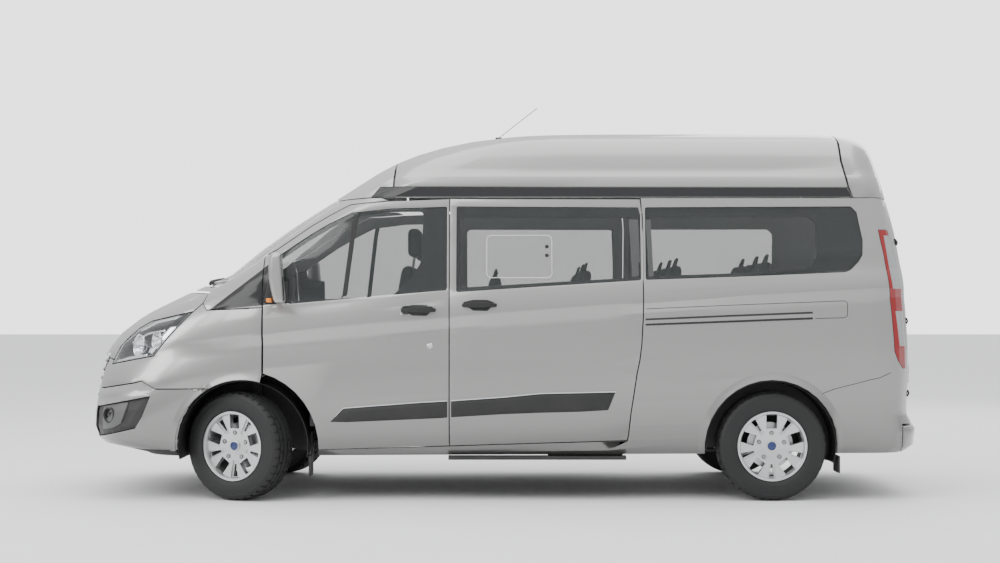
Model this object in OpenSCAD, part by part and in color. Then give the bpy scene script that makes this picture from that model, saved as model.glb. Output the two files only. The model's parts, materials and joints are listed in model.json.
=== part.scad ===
// Raised-roof minibus with sliding side doors and twin rear doors.
// Millimetres. +X forwards, +Y left, +Z up; the origin is on the ground under the middle of the body.

/* [Body] */
// Distance between the axles
wheelbase = 3300; // [3290:5:3310]
// From the front axle to the front of the bumper
front_overhang = 1048; // [1043:5:1053]
// Thickness of doors, walls and roof
wall = 55; // [50:1:56]
// Gap between neighbouring panels
gap = 7; // [5:1:9]
// Thickness of the window glass
glass_t = 5; // [4:1:6]

/* [Wheels] */
// Radius of the tyre, unloaded
tyre_r = 340; // [330:1:345]
// Width of the tyre
tyre_w = 215; // [195:5:225]
// Radius of the rim's flange
rim_r = 218; // [210:1:222]
// Distance between the middles of the tyres on one axle
track = 1740; // [1730:5:1745]
// How far the front wheels are turned to the right as the vehicle stands
steer_rest = 26; // [0:1:30]

/* [Seats] */
// Width of one passenger seat
seat_w = 430; // [400:5:440]
// Distance between one row of passenger seats and the next
row_pitch = 575; // [570:5:580]

/* [Hidden] */

front_axle_x = 2670 - front_overhang;
rear_axle_x = front_axle_x - wheelbase;
axle_z = tyre_r;
wheel_y = track / 2;
kingpin_offset = 60;
kingpin_r = 20;
kingpin_y = wheel_y - kingpin_offset;
arch_r = 410;
floor_z = 500;
skin_depth = glass_t + 5;
bonnet_lip = 6;
knuckle_face = kingpin_offset - kingpin_r;
disc_face = knuckle_face - 6;
wheel_fn = 48;
mesh_fn = 24;
far = 1400;

silver = "silver";
black = "dimgray";

// The side outline of the nose, bonnet, windscreen and roof front on the centreline: [height, x]
nose_line = [
    [285, 2330], [310, 2500], [345, 2610], [400, 2656], [500, 2670], [750, 2670], [860, 2655],
    [930, 2622], [1000, 2575], [1060, 2510], [1120, 2430], [1175, 2340], [1235, 2225],
    [1290, 2095], [1330, 1985], [1365, 1890], [1410, 1815], [1475, 1735], [1600, 1575],
    [1750, 1365], [1920, 1100], [2050, 905], [2140, 755], [2225, 540], [2290, 280],
    [2320, 80], [2338, -120], [2350, -420]
];
// The side outline of the tail on the centreline: [height, x]
tail_line = [
    [285, -2590], [310, -2650], [345, -2670], [440, -2670], [460, -2640], [480, -2618],
    [870, -2624], [1090, -2612], [1395, -2590], [1535, -2567], [1675, -2544], [1775, -2520],
    [1860, -2496], [1955, -2472], [2045, -2448], [2135, -2421], [2210, -2396], [2255, -2374],
    [2290, -2342], [2315, -2285], [2335, -2170], [2350, -1900]
];
// Half the width of the body: [level, half width]
half_widths = [
    [285, 905], [300, 925], [352, 948], [430, 968], [520, 980], [650, 990], [800, 992],
    [950, 988], [1050, 982], [1105, 975], [1165, 993], [1185, 992], [1250, 984], [1313, 970],
    [1345, 960], [1500, 938], [1700, 908], [1844, 885], [1893, 876], [1965, 862], [2026, 853], [2036, 843],
    [2150, 800], [2215, 768], [2262, 730], [2298, 650], [2320, 560], [2335, 420], [2345, 250],
    [2350, 80]
];
// How long and how square the rounded nose and tail are in plan: [level, length], [level, power]
nose_lengths = [
    [285, 480], [600, 560], [750, 680], [1165, 1040], [1313, 880], [1420, 640], [1520, 400],
    [1600, 370], [1844, 400], [2036, 560], [2350, 700]
];
nose_powers = [[285, 3], [700, 2.9], [1100, 2.3], [2350, 2.3]];
tail_lengths = [[285, 340], [1313, 330], [1844, 300], [2222, 300], [2350, 500]];
tail_power = 3.2;
// A level line rises to the rear, most at the belt: [level, slope], [level, bow]
level_slopes = [[285, -0.004], [352, -0.03], [1105, -0.08], [1165, -0.08], [1313, -0.0617], [1844, 0]];
level_bows = [[352, 0], [1105, -5.6e-6], [1165, -5.6e-6], [1313, -6.5e-6], [1844, 0]];
// The levels at which the surface of the body is worked out
levels = [
    285, 305, 352, 440, 480, 580, 700, 820, 950, 1050, 1105, 1165, 1190, 1250, 1313, 1345,
    1410, 1500, 1620, 1740, 1844, 1893, 1965, 2026, 2036, 2090, 2150, 2205, 2250, 2288, 2318,
    2336, 2350
];
// The levels of the inside, which is plainer
inner_levels = [
    285, 352, 460, 600, 800, 1000, 1165, 1313, 1400, 1520, 1650, 1790, 1893, 2036, 2140, 2215,
    2262, 2298, 2320
];

function span(t, z, i = 0) = (i >= len(t) - 2 || z < t[i + 1][0]) ? i : span(t, z, i + 1);
function rate(t, i) =
    let (a = max(i - 1, 0), b = min(i + 1, len(t) - 1)) (t[b][1] - t[a][1]) / (t[b][0] - t[a][0]);
// A smooth curve through the rows of a table
function smooth(t, z) =
    z <= t[0][0] ? t[0][1] :
    z >= t[len(t) - 1][0] ? t[len(t) - 1][1] :
    let (i = span(t, z), h = t[i + 1][0] - t[i][0], u = (z - t[i][0]) / h)
    (2 * u^3 - 3 * u^2 + 1) * t[i][1] + (u^3 - 2 * u^2 + u) * rate(t, i) * h
    + (3 * u^2 - 2 * u^3) * t[i + 1][1] + (u^3 - u^2) * rate(t, i + 1) * h;
function level_z(h, x) = h + lookup(h, level_slopes) * x + lookup(h, level_bows) * x * x;
function end_x(t, h, x, n = 6) = n == 0 ? x : end_x(t, h, smooth(t, level_z(h, x)), n - 1);
// A skin of thickness t is deeper, level, where the surface leans
function lean(a, b, step) = sqrt(1 + ((b - a) / step)^2);
function nose_x(h, t) =
    let (x = end_x(nose_line, h, 2200), y = end_x(nose_line, h + 4, 2200)) x - t * min(lean(x, y, 4), 8);
function tail_x(h, t) =
    let (x = end_x(tail_line, h, -2500), y = end_x(tail_line, h + 4, -2500)) x + t * min(lean(x, y, 4), 8);
function half_w(h, t) =
    let (w = lookup(h, half_widths), v = lookup(h + 4, half_widths)) max(30, w - t * min(lean(w, v, 4), 9));
function ring(h, t, nf, ns, nr) =
    let (
        w = half_w(h, t), a = nose_x(h, t), b = tail_x(h, t),
        ln = lookup(h, nose_lengths) - t, lr = lookup(h, tail_lengths) - t,
        p = lookup(h, nose_powers),
        half = concat(
            [for (i = [0:nf]) let (q = 90 * i / nf)
                [a - ln + ln * cos(q)^(2 / p), w * sin(q)^(2 / p)]],
            [for (i = [1:ns - 1]) [a - ln + (b + lr - a + ln) * i / ns, w]],
            [for (i = [0:nr]) let (q = 90 * i / nr)
                [b + lr - lr * sin(q)^(2 / tail_power), w * cos(q)^(2 / tail_power)]]
        ),
        n = len(half),
        loop = concat(half, [for (i = [1:n - 2]) [half[n - 1 - i][0], -half[n - 1 - i][1]]])
    )
    [for (p = loop) [p[0], p[1], level_z(h, p[0])]];

// The whole body as one solid, a distance t inside its own skin
module form(t = 0, hs = levels, nf = 12, ns = 5, nr = 8) {
    rings = [for (h = hs) ring(h, t, nf, ns, nr)];
    n = len(rings[0]);
    m = len(rings);
    polyhedron(
        points = [for (r = rings) each r],
        faces = concat(
            [[for (i = [0:n - 1]) i]],
            [for (j = [0:m - 2], i = [0:n - 1]) let (k = (i + 1) % n)
                each [[j * n + i, (j + 1) * n + i, (j + 1) * n + k], [j * n + i, (j + 1) * n + k, j * n + k]]],
            [[for (i = [0:n - 1]) m * n - 1 - i]]
        ),
        convexity = 8
    );
}
// Pieces of the free-form surface are worked out together as one mesh
module pressed() { resize([0, 0, 0]) children(); }
// A side outline [x, z] run through the body, or through one side only
module through(outline, from = -far, to = far) {
    translate([0, to, 0]) rotate([90, 0, 0]) linear_extrude(to - from) polygon(outline);
}
module trimmed(outline, from = -far, to = far, by = gap / 2) {
    translate([0, to, 0]) rotate([90, 0, 0]) linear_extrude(to - from) offset(delta = -by) polygon(outline);
}
module rounded(outline, r, from = -far, to = far, by = 0) {
    translate([0, to, 0]) rotate([90, 0, 0]) linear_extrude(to - from)
        offset(r = r, $fn = mesh_fn) offset(delta = -r - by) polygon(outline);
}
module both_sides() {
    children();
    mirror([0, 1, 0]) children();
}
function arc(cx, cz, r, from, to, n) =
    [for (i = [0:n]) let (a = from + (to - from) * i / n) [cx + r * cos(a), cz + r * sin(a)]];

// Outlines of the panels as seen from the side: [x, z]
door_top_line = [
    [333, 1886], [708, 1872], [958, 1850], [1082, 1786], [1205, 1714], [1328, 1629],
    [1419, 1566], [1496, 1530]
];
front_door_outline = concat(
    door_top_line,
    arc(1620, 341, 470, 106, 183, 8),
    [[333, 342]]
);
sliding_door_outline = [
    [333, 342], [333, 1887], [-860, 1885], [-872, 1780], [-874, 1160], [-863, 972],
    [-851, 879], [-832, 786], [-814, 662], [-795, 538], [-783, 414], [-776, 375]
];
side_outline = concat(
    [
        [-2800, 1893], [-2800, 470], [-2500, 470], [-2500, 275], [-2085, 275]
    ],
    arc(rear_axle_x + 5, 341, arch_r, 188, -8, 18),
    [
        [-1250, 275], [1160, 250], [1150, 320], [333, 342], [-776, 375], [-783, 414],
        [-795, 538], [-814, 662], [-832, 786], [-851, 879], [-863, 972], [-874, 1160],
        [-872, 1780], [-861, 1893]
    ]
);
wing_outline = concat(
    [[1496, 1201], [1496, 785]],
    arc(1620, 341, arch_r, 106, 61, 8),
    [
        [2163, 697], [2260, 745], [2310, 732], [2548, 692], [2720, 690], [2720, 925],
        [2500, 868], [2508, 842], [2190, 901], [2099, 1013], [2012, 1107], [1939, 1179],
        [1880, 1230], [1850, 1188]
    ]
);
bumper_outline = concat(
    [
        [1818, 701], [2163, 697], [2260, 745], [2310, 732], [2548, 692], [2720, 690],
        [2720, 250], [2036, 250]
    ],
    arc(1620, 341, arch_r, -8, 61, 8)
);
headlight_outline = [
    [1939, 1179], [2235, 1117], [2320, 1072], [2397, 1009], [2455, 953], [2494, 882],
    [2508, 842], [2190, 901], [2099, 1013], [2012, 1107]
];
bonnet_outline = [
    [2100, 1311], [2040, 1303], [1852, 1291], [1880, 1230], [1939, 1179], [2235, 1117],
    [2320, 1072], [2397, 1009], [2455, 953], [2494, 882], [2502, 868], [2720, 925], [2720, 1500],
    [2200, 1500]
];
windscreen_outline = [
    [1795, 1340], [1990, 1346], [2150, 1500], [1300, 2100], [1112, 1925], [1050, 1862],
    [1215, 1752], [1415, 1602], [1548, 1491]
];
front_frame_outline = [
    [708, 1872], [760, 1893], [830, 1893], [1060, 1885], [1130, 1945], [1330, 2150],
    [2250, 1500], [2100, 1320], [2040, 1312], [1852, 1300], [1880, 1230], [1850, 1188],
    [1496, 1201], [1496, 1530], [1419, 1566], [1328, 1629], [1205, 1714], [1082, 1786],
    [958, 1850]
];
roof_outline = [
    [-2800, 1893], [830, 1893], [1060, 1885], [1130, 1945], [1330, 2150], [1330, 2400], [-2800, 2400]
];
trim_outline = [
    [824, 1897], [775, 1963], [-2160, 1960], [-2188, 1897]
];
fog_outline = [[2600, 575], [2540, 586], [2191, 655], [2241, 529], [2287, 451], [2560, 387], [2620, 380]];
front_glass_outline = [
    [1335, 1226], [1335, 1365], [1440, 1385], [1462, 1488], [1400, 1530], [1205, 1660],
    [1082, 1733], [945, 1798],
    [708, 1824], [348, 1836], [348, 1312]
];
front_window_outline = [
    [1305, 1246], [1305, 1392], [1425, 1410], [1436, 1470], [1390, 1505], [1205, 1630],
    [1075, 1706], [940, 1775],
    [708, 1804], [495, 1808], [510, 1490], [560, 1400], [690, 1275]
];
sliding_glass_outline = [
    [290, 1300], [290, 1838], [-848, 1832], [-860, 1780], [-860, 1374]
];
sliding_window_outline = [[262, 1328], [262, 1768], [-786, 1766], [-800, 1740], [-800, 1390]];
quarter_glass_outline = [
    [-890, 1376], [-890, 1832], [-2180, 1838], [-2215, 1800], [-2228, 1721], [-2246, 1627],
    [-2242, 1532], [-2215, 1488], [-2165, 1438], [-2133, 1424], [-1471, 1396]
];
quarter_window_outline = [
    [-912, 1400], [-912, 1768], [-1925, 1770], [-1960, 1735], [-1964, 1520], [-1920, 1454],
    [-1471, 1418]
];

// A panel pressed out of the body's skin, with its own outline and a gap all round
module panel(outline, t = wall) {
    intersection() {
        difference() {
            form();
            form(t, inner_levels, 8, 4, 5);
        }
        trimmed(outline);
    }
}
// The seat of a bonded window, and the hole behind it
module window_seat(outline, opening) {
    difference() {
        rounded(outline, 12);
        form(skin_depth);
    }
    rounded(opening, 30);
}
module pane(outline, t0 = 2) {
    intersection() {
        difference() {
            form(t0);
            form(t0 + glass_t);
        }
        rounded(outline, 12, by = 3);
    }
}
module floor_pan() color("gray") {
    difference() {
        union() {
            translate([-2390, -855, floor_z - 40]) cube([3590, 1710, 40]);
            translate([1190, -500, floor_z - 40]) cube([480, 1000, 40]);
            translate([1660, -500, floor_z - 40]) cube([25, 1000, 700]);
            for (s = [-1, 1]) {
                translate([1185, s * 680 - 190, floor_z - 40]) cube([25, 380, 300]);
                translate([1190, s * 490 - 10, floor_z - 40]) cube([480, 20, 480]);
            }
        }
        for (s = [-1, 1]) translate([rear_axle_x, s * 860, axle_z]) rotate([90, 0, 0])
            cylinder(h = 260, r = tyre_r + 60, center = true, $fn = wheel_fn);
    }
    for (s = [-1, 1]) intersection() {
        difference() {
            translate([rear_axle_x, s * 814, axle_z]) rotate([90, 0, 0])
                cylinder(h = 180, r = tyre_r + 85, center = true, $fn = wheel_fn);
            translate([rear_axle_x, s * 840, axle_z]) rotate([90, 0, 0])
                cylinder(h = 200, r = tyre_r + 60, center = true, $fn = wheel_fn);
        }
        translate([rear_axle_x - 500, s * 827 - 110, floor_z + 1]) cube([1000, 220, 400]);
    }
}

module body_frame() color("dimgray") {
    for (s = [-1, 1]) {
        // Long members, with a pad for the jack at each end of each sill
        translate([-2470, s * 480 - 40, 386]) cube([4860, 80, 68]);
        for (x = [900, -900]) {
            translate([x - 60, s * 750 - 40, 300]) cube([120, 80, 154]);
            translate([x - 30, s * 615 - 94, 400]) cube([60, 188, 50]);
        }
        // Subframe ends, lower arms and spring towers
        translate([front_axle_x - 60, s * 480 - 40, 270]) cube([120, 80, 115]);
        translate([front_axle_x - 40, s * 607 - 85, 285]) cube([80, 170, 30]);
        translate([front_axle_x - 70, s * 552 - 30, 386]) cube([60, 60, 560]);
    }
    for (x = [1100, 200, -1080, -2360]) translate([x - 40, -439, 390]) cube([80, 878, 55]);
    translate([front_axle_x - 150, -438, 270]) cube([300, 876, 60]);
    // Front beam with the socket for the towing eye
    difference() {
        translate([2391, -520, 386]) cube([60, 1040, 100]);
        translate([2380, 380, 435]) rotate([0, 90, 0]) cylinder(h = 90, r = 9, $fn = 32);
    }
}

module front_frame() color(silver) pressed() {
    difference() {
        panel(front_frame_outline);
        trimmed(windscreen_outline, by = -gap / 2);
    }
}

module windscreen() color("lightblue") pressed() {
    intersection() {
        difference() {
            form(2);
            form(2 + glass_t);
        }
        trimmed(windscreen_outline, by = 4);
    }
}

module grille_zone(from = 640, to = 930, half = 520, grow = 0) {
    translate([2200, -half - grow, from - grow]) cube([600, 2 * (half + grow), to - from + 2 * grow]);
}

module front_wings() color(silver) pressed() {
    difference() {
        panel(wing_outline, 40);
        grille_zone();
    }
}

module front_bumper() color(silver) pressed() {
    difference() {
        panel(bumper_outline, 45);
        grille_zone();
        grille_zone(375, 525, 430);
        for (s = [-1, 1]) trimmed(fog_outline, s * 1000 - 450, s * 1000 + 450, by = 0);
    }
}

module front_grille() color(black) pressed() {
    difference() {
        intersection() {
            difference() {
                form(14);
                form(40, inner_levels, 8, 4, 5);
            }
            union() {
                grille_zone(grow = -5);
                intersection() {
                    grille_zone(375, 525, 430, grow = -5);
                    // It stops short of the way in to the towing eye's socket
                    translate([2000, -far, 0]) cube([1000, far + 335, 1000]);
                }
                for (s = [-1, 1]) trimmed(fog_outline, s * 1000 - 445, s * 1000 + 445, by = 5);
            }
        }
        trimmed(bonnet_outline, by = -6);
        trimmed(headlight_outline, by = -6);
    }
}

module headlights() color("whitesmoke") pressed() {
    panel(headlight_outline, 70);
}

module bonnet() color(silver) pressed() {
    difference() {
        panel(bonnet_outline, 24);
        // The rear edge is a thin lip, so that it swings up clear of the front frame
        intersection() {
            form(bonnet_lip);
            translate([1700, -far, 1240]) cube([500, 2 * far, 300]);
        }
    }
}

module rear_opening(from, to, grow = 0) {
    // The rear doorway, seen from behind
    translate([-3000, 0, 0]) rotate([90, 0, 90]) linear_extrude(800) offset(delta = grow)
        polygon([
            [-848, from], [848, from], [848, 1165], [815, 1400], [752, to], [-752, to],
            [-815, 1400], [-848, 1165]
        ]);
}

module side_panels() color(silver) pressed() {
    difference() {
        panel(side_outline);
        rear_opening(462, 1900, gap / 2);
        window_seat(quarter_glass_outline, quarter_window_outline);
        tail_light_zone(gap / 2);
        translate([-2900, -far, 200]) cube([400, 2 * far, 300]);
    }
}

module tail_light_zone(grow = 0) {
    both_sides() intersection() {
        translate([0, far, 0]) rotate([90, 0, 0]) linear_extrude(far) offset(delta = grow)
            polygon([
                [-2350, 1690], [-2361, 1627], [-2380, 1533], [-2405, 1345], [-2423, 1157],
                [-2436, 1010], [-2440, 930], [-2467, 870], [-2500, 826], [-2700, 826],
                [-2700, 1690]
            ]);
        translate([-3000, 848 + gap - grow, 700]) cube([1000, 400, 1200]);
    }
}

module tail_lights() color("red") pressed() {
    intersection() {
        difference() {
            form();
            form(50, inner_levels, 8, 4, 5);
        }
        tail_light_zone();
    }
}

module sliding_doors() color(silver) pressed() {
    difference() {
        panel(sliding_door_outline);
        window_seat(sliding_glass_outline, sliding_window_outline);
    }
}

module side_glass() color("lightblue") pressed() {
    pane(sliding_glass_outline);
    pane(quarter_glass_outline);
}

module roof() color(silver) pressed() {
    difference() {
        union() {
            panel(concat([[690, 2400], [690, 1893]], [for (i = [1:5]) roof_outline[i]]));
            panel([
                [684, 2400], [684, 1893], [-2190, 1893], [-2165, 1965], [-2130, 2130], [-2120, 2400]
            ]);
            panel([
                [-2126, 2400], [-2136, 2130], [-2171, 1965], [-2196, 1893], [-2800, 1893],
                [-2800, 2400]
            ]);
        }
        difference() {
            trimmed(trim_outline, by = -3);
            form(skin_depth);
        }
    }
}

module roof_side_trims() color(black) pressed() {
    intersection() {
        difference() {
            form(1);
            form(7);
        }
        trimmed(trim_outline, by = 2);
    }
}

module front_door(side) {
    difference() {
        panel(front_door_outline);
        window_seat(front_glass_outline, front_window_outline);
        translate([-4000, side > 0 ? -far : 0, -100]) cube([8000, far, 4000]);
    }
    // Mirror
    translate([1415, side * 1072, 1390]) scale([0.36, 0.62, 1]) sphere(r = 120, $fn = 24);
    hull() {
        translate([1400, side * 985, 1235]) cube([60, 10, 60], center = true);
        translate([1415, side * 1050, 1310]) cube([40, 60, 30], center = true);
    }
    // Black corner that the mirror's arm stands on, and the handle
    hull() {
        translate([1400, side * 966, 1240]) cube([90, 30, 50], center = true);
        translate([1425, side * 950, 1330]) cube([50, 30, 20], center = true);
    }
    translate([530, side * 997, 1186]) cube([210, 30, 60], center = true);
}
module front_door_left() color(silver) pressed() front_door(1);
module front_door_right() color(silver) pressed() front_door(-1);

module front_glass(side) {
    difference() {
        pane(front_glass_outline);
        translate([-4000, side > 0 ? -far : 0, -100]) cube([8000, far, 4000]);
    }
}
module front_door_glass_left() color("lightblue") pressed() front_glass(1);
module front_door_glass_right() color("lightblue") pressed() front_glass(-1);

module rear_window(grow = 0) {
    translate([-3000, 0, 0]) rotate([90, 0, 90]) linear_extrude(800) offset(r = 30 + grow, $fn = mesh_fn)
        offset(delta = -30) polygon([[60, 1225], [735, 1225], [700, 1780], [60, 1790]]);
}
module rear_door() {
    difference() {
        intersection() {
            difference() {
                form();
                form(wall, inner_levels, 8, 4, 5);
            }
            rear_opening(470, 1884, -gap / 2);
        }
        translate([-4000, -far, 0]) cube([4000, far + 5, 4000]);
        translate([-4000, -far, 0]) cube([4000, 0.001, 4000]);
        intersection() {
            form(20, inner_levels, 8, 4, 5);
            translate([-4000, -10, 0]) cube([4000, 28, 4000]);
        }
        difference() {
            rear_window();
            form(skin_depth);
        }
        rear_window(-35);
    }
}
module rear_glass() {
    intersection() {
        difference() {
            form(2);
            form(2 + glass_t);
        }
        rear_window(-4);
    }
}
module rear_door_left() color(silver) pressed() rear_door();
module rear_door_right() color(silver) pressed() mirror([0, 1, 0]) rear_door();
module rear_glass_left() color("lightblue") pressed() rear_glass();
module rear_glass_right() color("lightblue") pressed() mirror([0, 1, 0]) rear_glass();

module rear_bumper() color(silver) pressed() {
    intersection() {
        difference() {
            form();
            form(45, inner_levels, 8, 4, 5);
        }
        translate([-2900, -far, 280]) cube([393, 2 * far, 178]);
    }
}

module side_steps() color(black) {
    for (s = [-1, 1]) translate([-770, s * 900 - 45, 255]) cube([1110, 90, 22]);
}

module mud_flaps() color(black) {
    for (s = [-1, 1]) {
        translate([1200, s * 850 - 90, 150]) cube([10, 180, 128]);
        translate([1200, s * 780 - 30, 279]) cube([10, 60, 140]);
        translate([rear_axle_x - 425, s * 850 - 90, 172]) cube([10, 180, 106]);
        translate([rear_axle_x - 425, s * 770 - 25, 279]) cube([10, 50, 140]);
    }
}

module antenna() color(black) {
    translate([30, 0, 2330]) cylinder(h = 24, r = 22, $fn = 24);
    translate([30, 0, 2350]) rotate([0, -52, 0]) cylinder(h = 330, r = 2.5, $fn = 12);
}

module dashboard() color(black) {
    difference() {
        translate([1400, -850, 1000]) cube([250, 1700, 170]);
        translate([1380, 200, 960]) cube([120, 460, 110]);
    }
    translate([1500, -200, 640]) cube([120, 400, 358]);
    translate([1300, 408, 1040]) rotate([0, 62, 0]) cylinder(h = 110, r = 30, $fn = 24);
}

module steering_wheel() color(black) {
    translate([1240, 430, 1130]) rotate([0, -28, 0]) {
        rotate_extrude($fn = wheel_fn) translate([185, 0]) circle(r = 15, $fn = 16);
        cylinder(h = 30, r = 50, center = true, $fn = 32);
        for (a = [90, 210, 330]) rotate(a) translate([30, -14, -8]) cube([150, 28, 14]);
    }
}

row_z = [761, 800, 829, 853];
front_seat_x = 665;
last_row_x = -2150;
last_row_z = 856;

// One seat, its backrest's foot over the origin and its front towards +x
module seat(w, h) {
    translate([0, w / 2, 0]) rotate([90, 0, 0]) linear_extrude(w)
        polygon([[40, 0], [430, 0], [446, 40], [436, 108], [58, 98], [30, 50]]);
    translate([0, w / 2, 0]) rotate([90, 0, 0]) linear_extrude(w) polygon([
        [-50, 20], [20, 20], [52, 104], [60 - 0.17 * h, h + 60], [-20 - 0.17 * h, h + 60], [-60, 60]
    ]);
}
module seat_base(x, y, z, w) {
    for (s = [-1, 1]) translate([x + 60, y + s * (w / 2 - 50) - 15, floor_z + 1]) cube([320, 30, z - floor_z - 3]);
}

module front_seats() color("darkslategray") {
    for (y = [430, -560]) translate([front_seat_x, y, 830]) {
        seat(500, 640);
        translate([0, 120, 0]) rotate([90, 0, 0]) linear_extrude(240)
            polygon([[-128, 704], [-48, 704], [-58, 890], [-132, 890]]);
    }
    translate([front_seat_x, -180, 830]) seat(240, 560);
    for (y = [430, -560]) seat_base(front_seat_x, y, 830, 500);
}

module passenger_seats() color("darkslategray") {
    for (i = [0:3], y = [550, 110, -560]) {
        x = 102 - row_pitch * i;
        translate([x, y, row_z[i]]) seat(seat_w - 4, 600);
        if (i < 3 || y == 110) seat_base(x, y, row_z[i], seat_w - 4);
    }
    for (y = [-630, -210, 210, 630]) translate([last_row_x, y, last_row_z]) seat(seat_w - 26, 620);
    for (y = [-210, 210]) seat_base(last_row_x, y, last_row_z, seat_w - 26);
}

module engine_block() color("gray") {
    translate([1880, -330, 480]) cube([500, 660, 480]);
}

module rear_axle() color("dimgray") {
    translate([rear_axle_x, 0, axle_z]) rotate([90, 0, 0])
        cylinder(h = 2 * wheel_y - 262, r = 38, center = true, $fn = 32);
    for (s = [-1, 1]) {
        translate([rear_axle_x, s * (wheel_y - 100), axle_z]) rotate([90, 0, 0])
            cylinder(h = 60, r = 62, center = true, $fn = 32);
        translate([rear_axle_x - 540, s * 590 - 30, axle_z - 62]) cube([1080, 60, 18]);
    }
}

module fuel_tank() color("black") {
    translate([250, -420, 270]) cube([700, 380, 110]);
}

module exhaust() color("gray") {
    translate([1440, 120, 300]) rotate([0, -90, 0]) cylinder(h = 2300, r = 28, $fn = 24);
    translate([-300, 130, 290]) rotate([0, -90, 0]) cylinder(h = 500, r = 80, $fn = 32);
}

module tyre(r = tyre_r) {
    w = tyre_w / 2;
    rotate([90, 0, 0]) rotate_extrude($fn = wheel_fn) polygon([
        [rim_r - 16, -82], [rim_r + 1, -82], [rim_r + 4, -w + 10],
        [r - 70, -w], [r - 32, -w + 4], [r - 10, -w + 20], [r - 2, -w + 45], [r, 0],
        [r - 2, w - 45], [r - 10, w - 20], [r - 32, w - 4], [r - 70, w], [rim_r + 4, w - 10],
        [rim_r + 1, 82], [rim_r - 16, 82]
    ]);
}
// A wheel; with s = 1 its outer face looks along +y
module alloy(s = 1) {
    rotate([s * -90, 0, 0]) {
        rotate_extrude($fn = wheel_fn) polygon([
            [rim_r - 23, -93], [rim_r - 1, -93], [rim_r - 1, -84], [rim_r - 17, -83], [rim_r - 17, 83],
            [rim_r - 1, 84], [rim_r - 1, 93], [rim_r - 15, 93], [rim_r - 23, 72]
        ]);
        difference() {
            rotate_extrude($fn = wheel_fn) polygon([
                [0, 18], [70, 18], [rim_r - 20, 30], [rim_r - 20, 66], [100, 60], [45, 52], [0, 52]
            ]);
            for (a = [0:72:359]) rotate(a - s * 90) translate([110, -34, 0]) cube([84, 68, 90]);
            for (a = [36:72:359]) rotate(a - s * 90) {
                linear_extrude(90) polygon([[114, -6], [192, -16], [192, 16], [114, 6]]);
                translate([0, 0, 50]) linear_extrude(40) polygon([[90, -12], [196, -27], [196, 27], [90, 12]]);
            }
            for (a = [0:72:359]) rotate(a - s * 90) translate([82, 0, 46]) cylinder(h = 40, r = 15, $fn = 24);
        }
        // Brake disc and hub
        translate([0, 0, -disc_face]) cylinder(h = 18, r = 145, $fn = wheel_fn);
        translate([0, 0, -30]) cylinder(h = 60, r = 68, $fn = 32);
        for (a = [0:72:359]) rotate(a - s * 90) translate([82, 0, 40]) cylinder(h = 18, r = 11, $fn = 6);
        translate([0, 0, 50]) cylinder(h = 12, r = 28, $fn = 32);
    }
}
module steered(s) {
    translate([front_axle_x, s * kingpin_y, axle_z]) rotate([0, 0, -steer_rest])
        translate([0, s * kingpin_offset, 0]) children();
}
module front_wheel_left() color("silver") steered(1) alloy(1);
module front_wheel_right() color("silver") steered(-1) alloy(-1);
module rear_wheel_left() color("silver") translate([rear_axle_x, wheel_y, axle_z]) alloy(1);
module rear_wheel_right() color("silver") translate([rear_axle_x, -wheel_y, axle_z]) alloy(-1);
module front_tyre_left() color("black") steered(1) tyre();
module front_tyre_right() color("black") steered(-1) tyre();
module rear_tyre_left() color("black") translate([rear_axle_x, wheel_y, axle_z]) tyre();
module rear_tyre_right() color("black") translate([rear_axle_x, -wheel_y, axle_z]) tyre();

module knuckle(s) {
    translate([front_axle_x, s * kingpin_y, axle_z]) {
        translate([0, 0, -110]) cylinder(h = 260, r = kingpin_r, $fn = 32);
        rotate([0, 0, -steer_rest]) translate([0, s * kingpin_offset, 0]) {
            // The stub and the caliper end where the kingpin does, clear of the brake disc
            translate([0, -s * (knuckle_face + 14), 0]) rotate([90, 0, 0])
                cylinder(h = 28, r = 55, center = true, $fn = 32);
            translate([-35, -s * 83 - 15, -60]) cube([70, 30, 220]);
            translate([-150, -s * (knuckle_face + 22) - 22, -50]) cube([40, 44, 110]);
            translate([-140, -s * 83 - 10, -15]) cube([120, 20, 30]);
        }
    }
}
module knuckle_left() color("dimgray") knuckle(1);
module knuckle_right() color("dimgray") knuckle(-1);

floor_pan();
body_frame();
front_frame();
windscreen();
front_wings();
front_bumper();
front_grille();
headlights();
side_panels();
sliding_doors();
side_glass();
roof();
roof_side_trims();
rear_bumper();
tail_lights();
side_steps();
mud_flaps();
antenna();
dashboard();
front_seats();
passenger_seats();
engine_block();
rear_axle();
fuel_tank();
exhaust();
bonnet();
front_door_left();
front_door_right();
front_door_glass_left();
front_door_glass_right();
rear_door_left();
rear_door_right();
rear_glass_left();
rear_glass_right();
steering_wheel();
knuckle_left();
knuckle_right();
front_wheel_left();
front_wheel_right();
rear_wheel_left();
rear_wheel_right();
front_tyre_left();
front_tyre_right();
rear_tyre_left();
rear_tyre_right();
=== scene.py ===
"""High-roof minibus: the looks of its body, glass, lamps, wheels, seats and fittings.

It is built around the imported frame, in metres: +X is forward, +Y is left, Z is up from the ground.
"""

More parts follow.
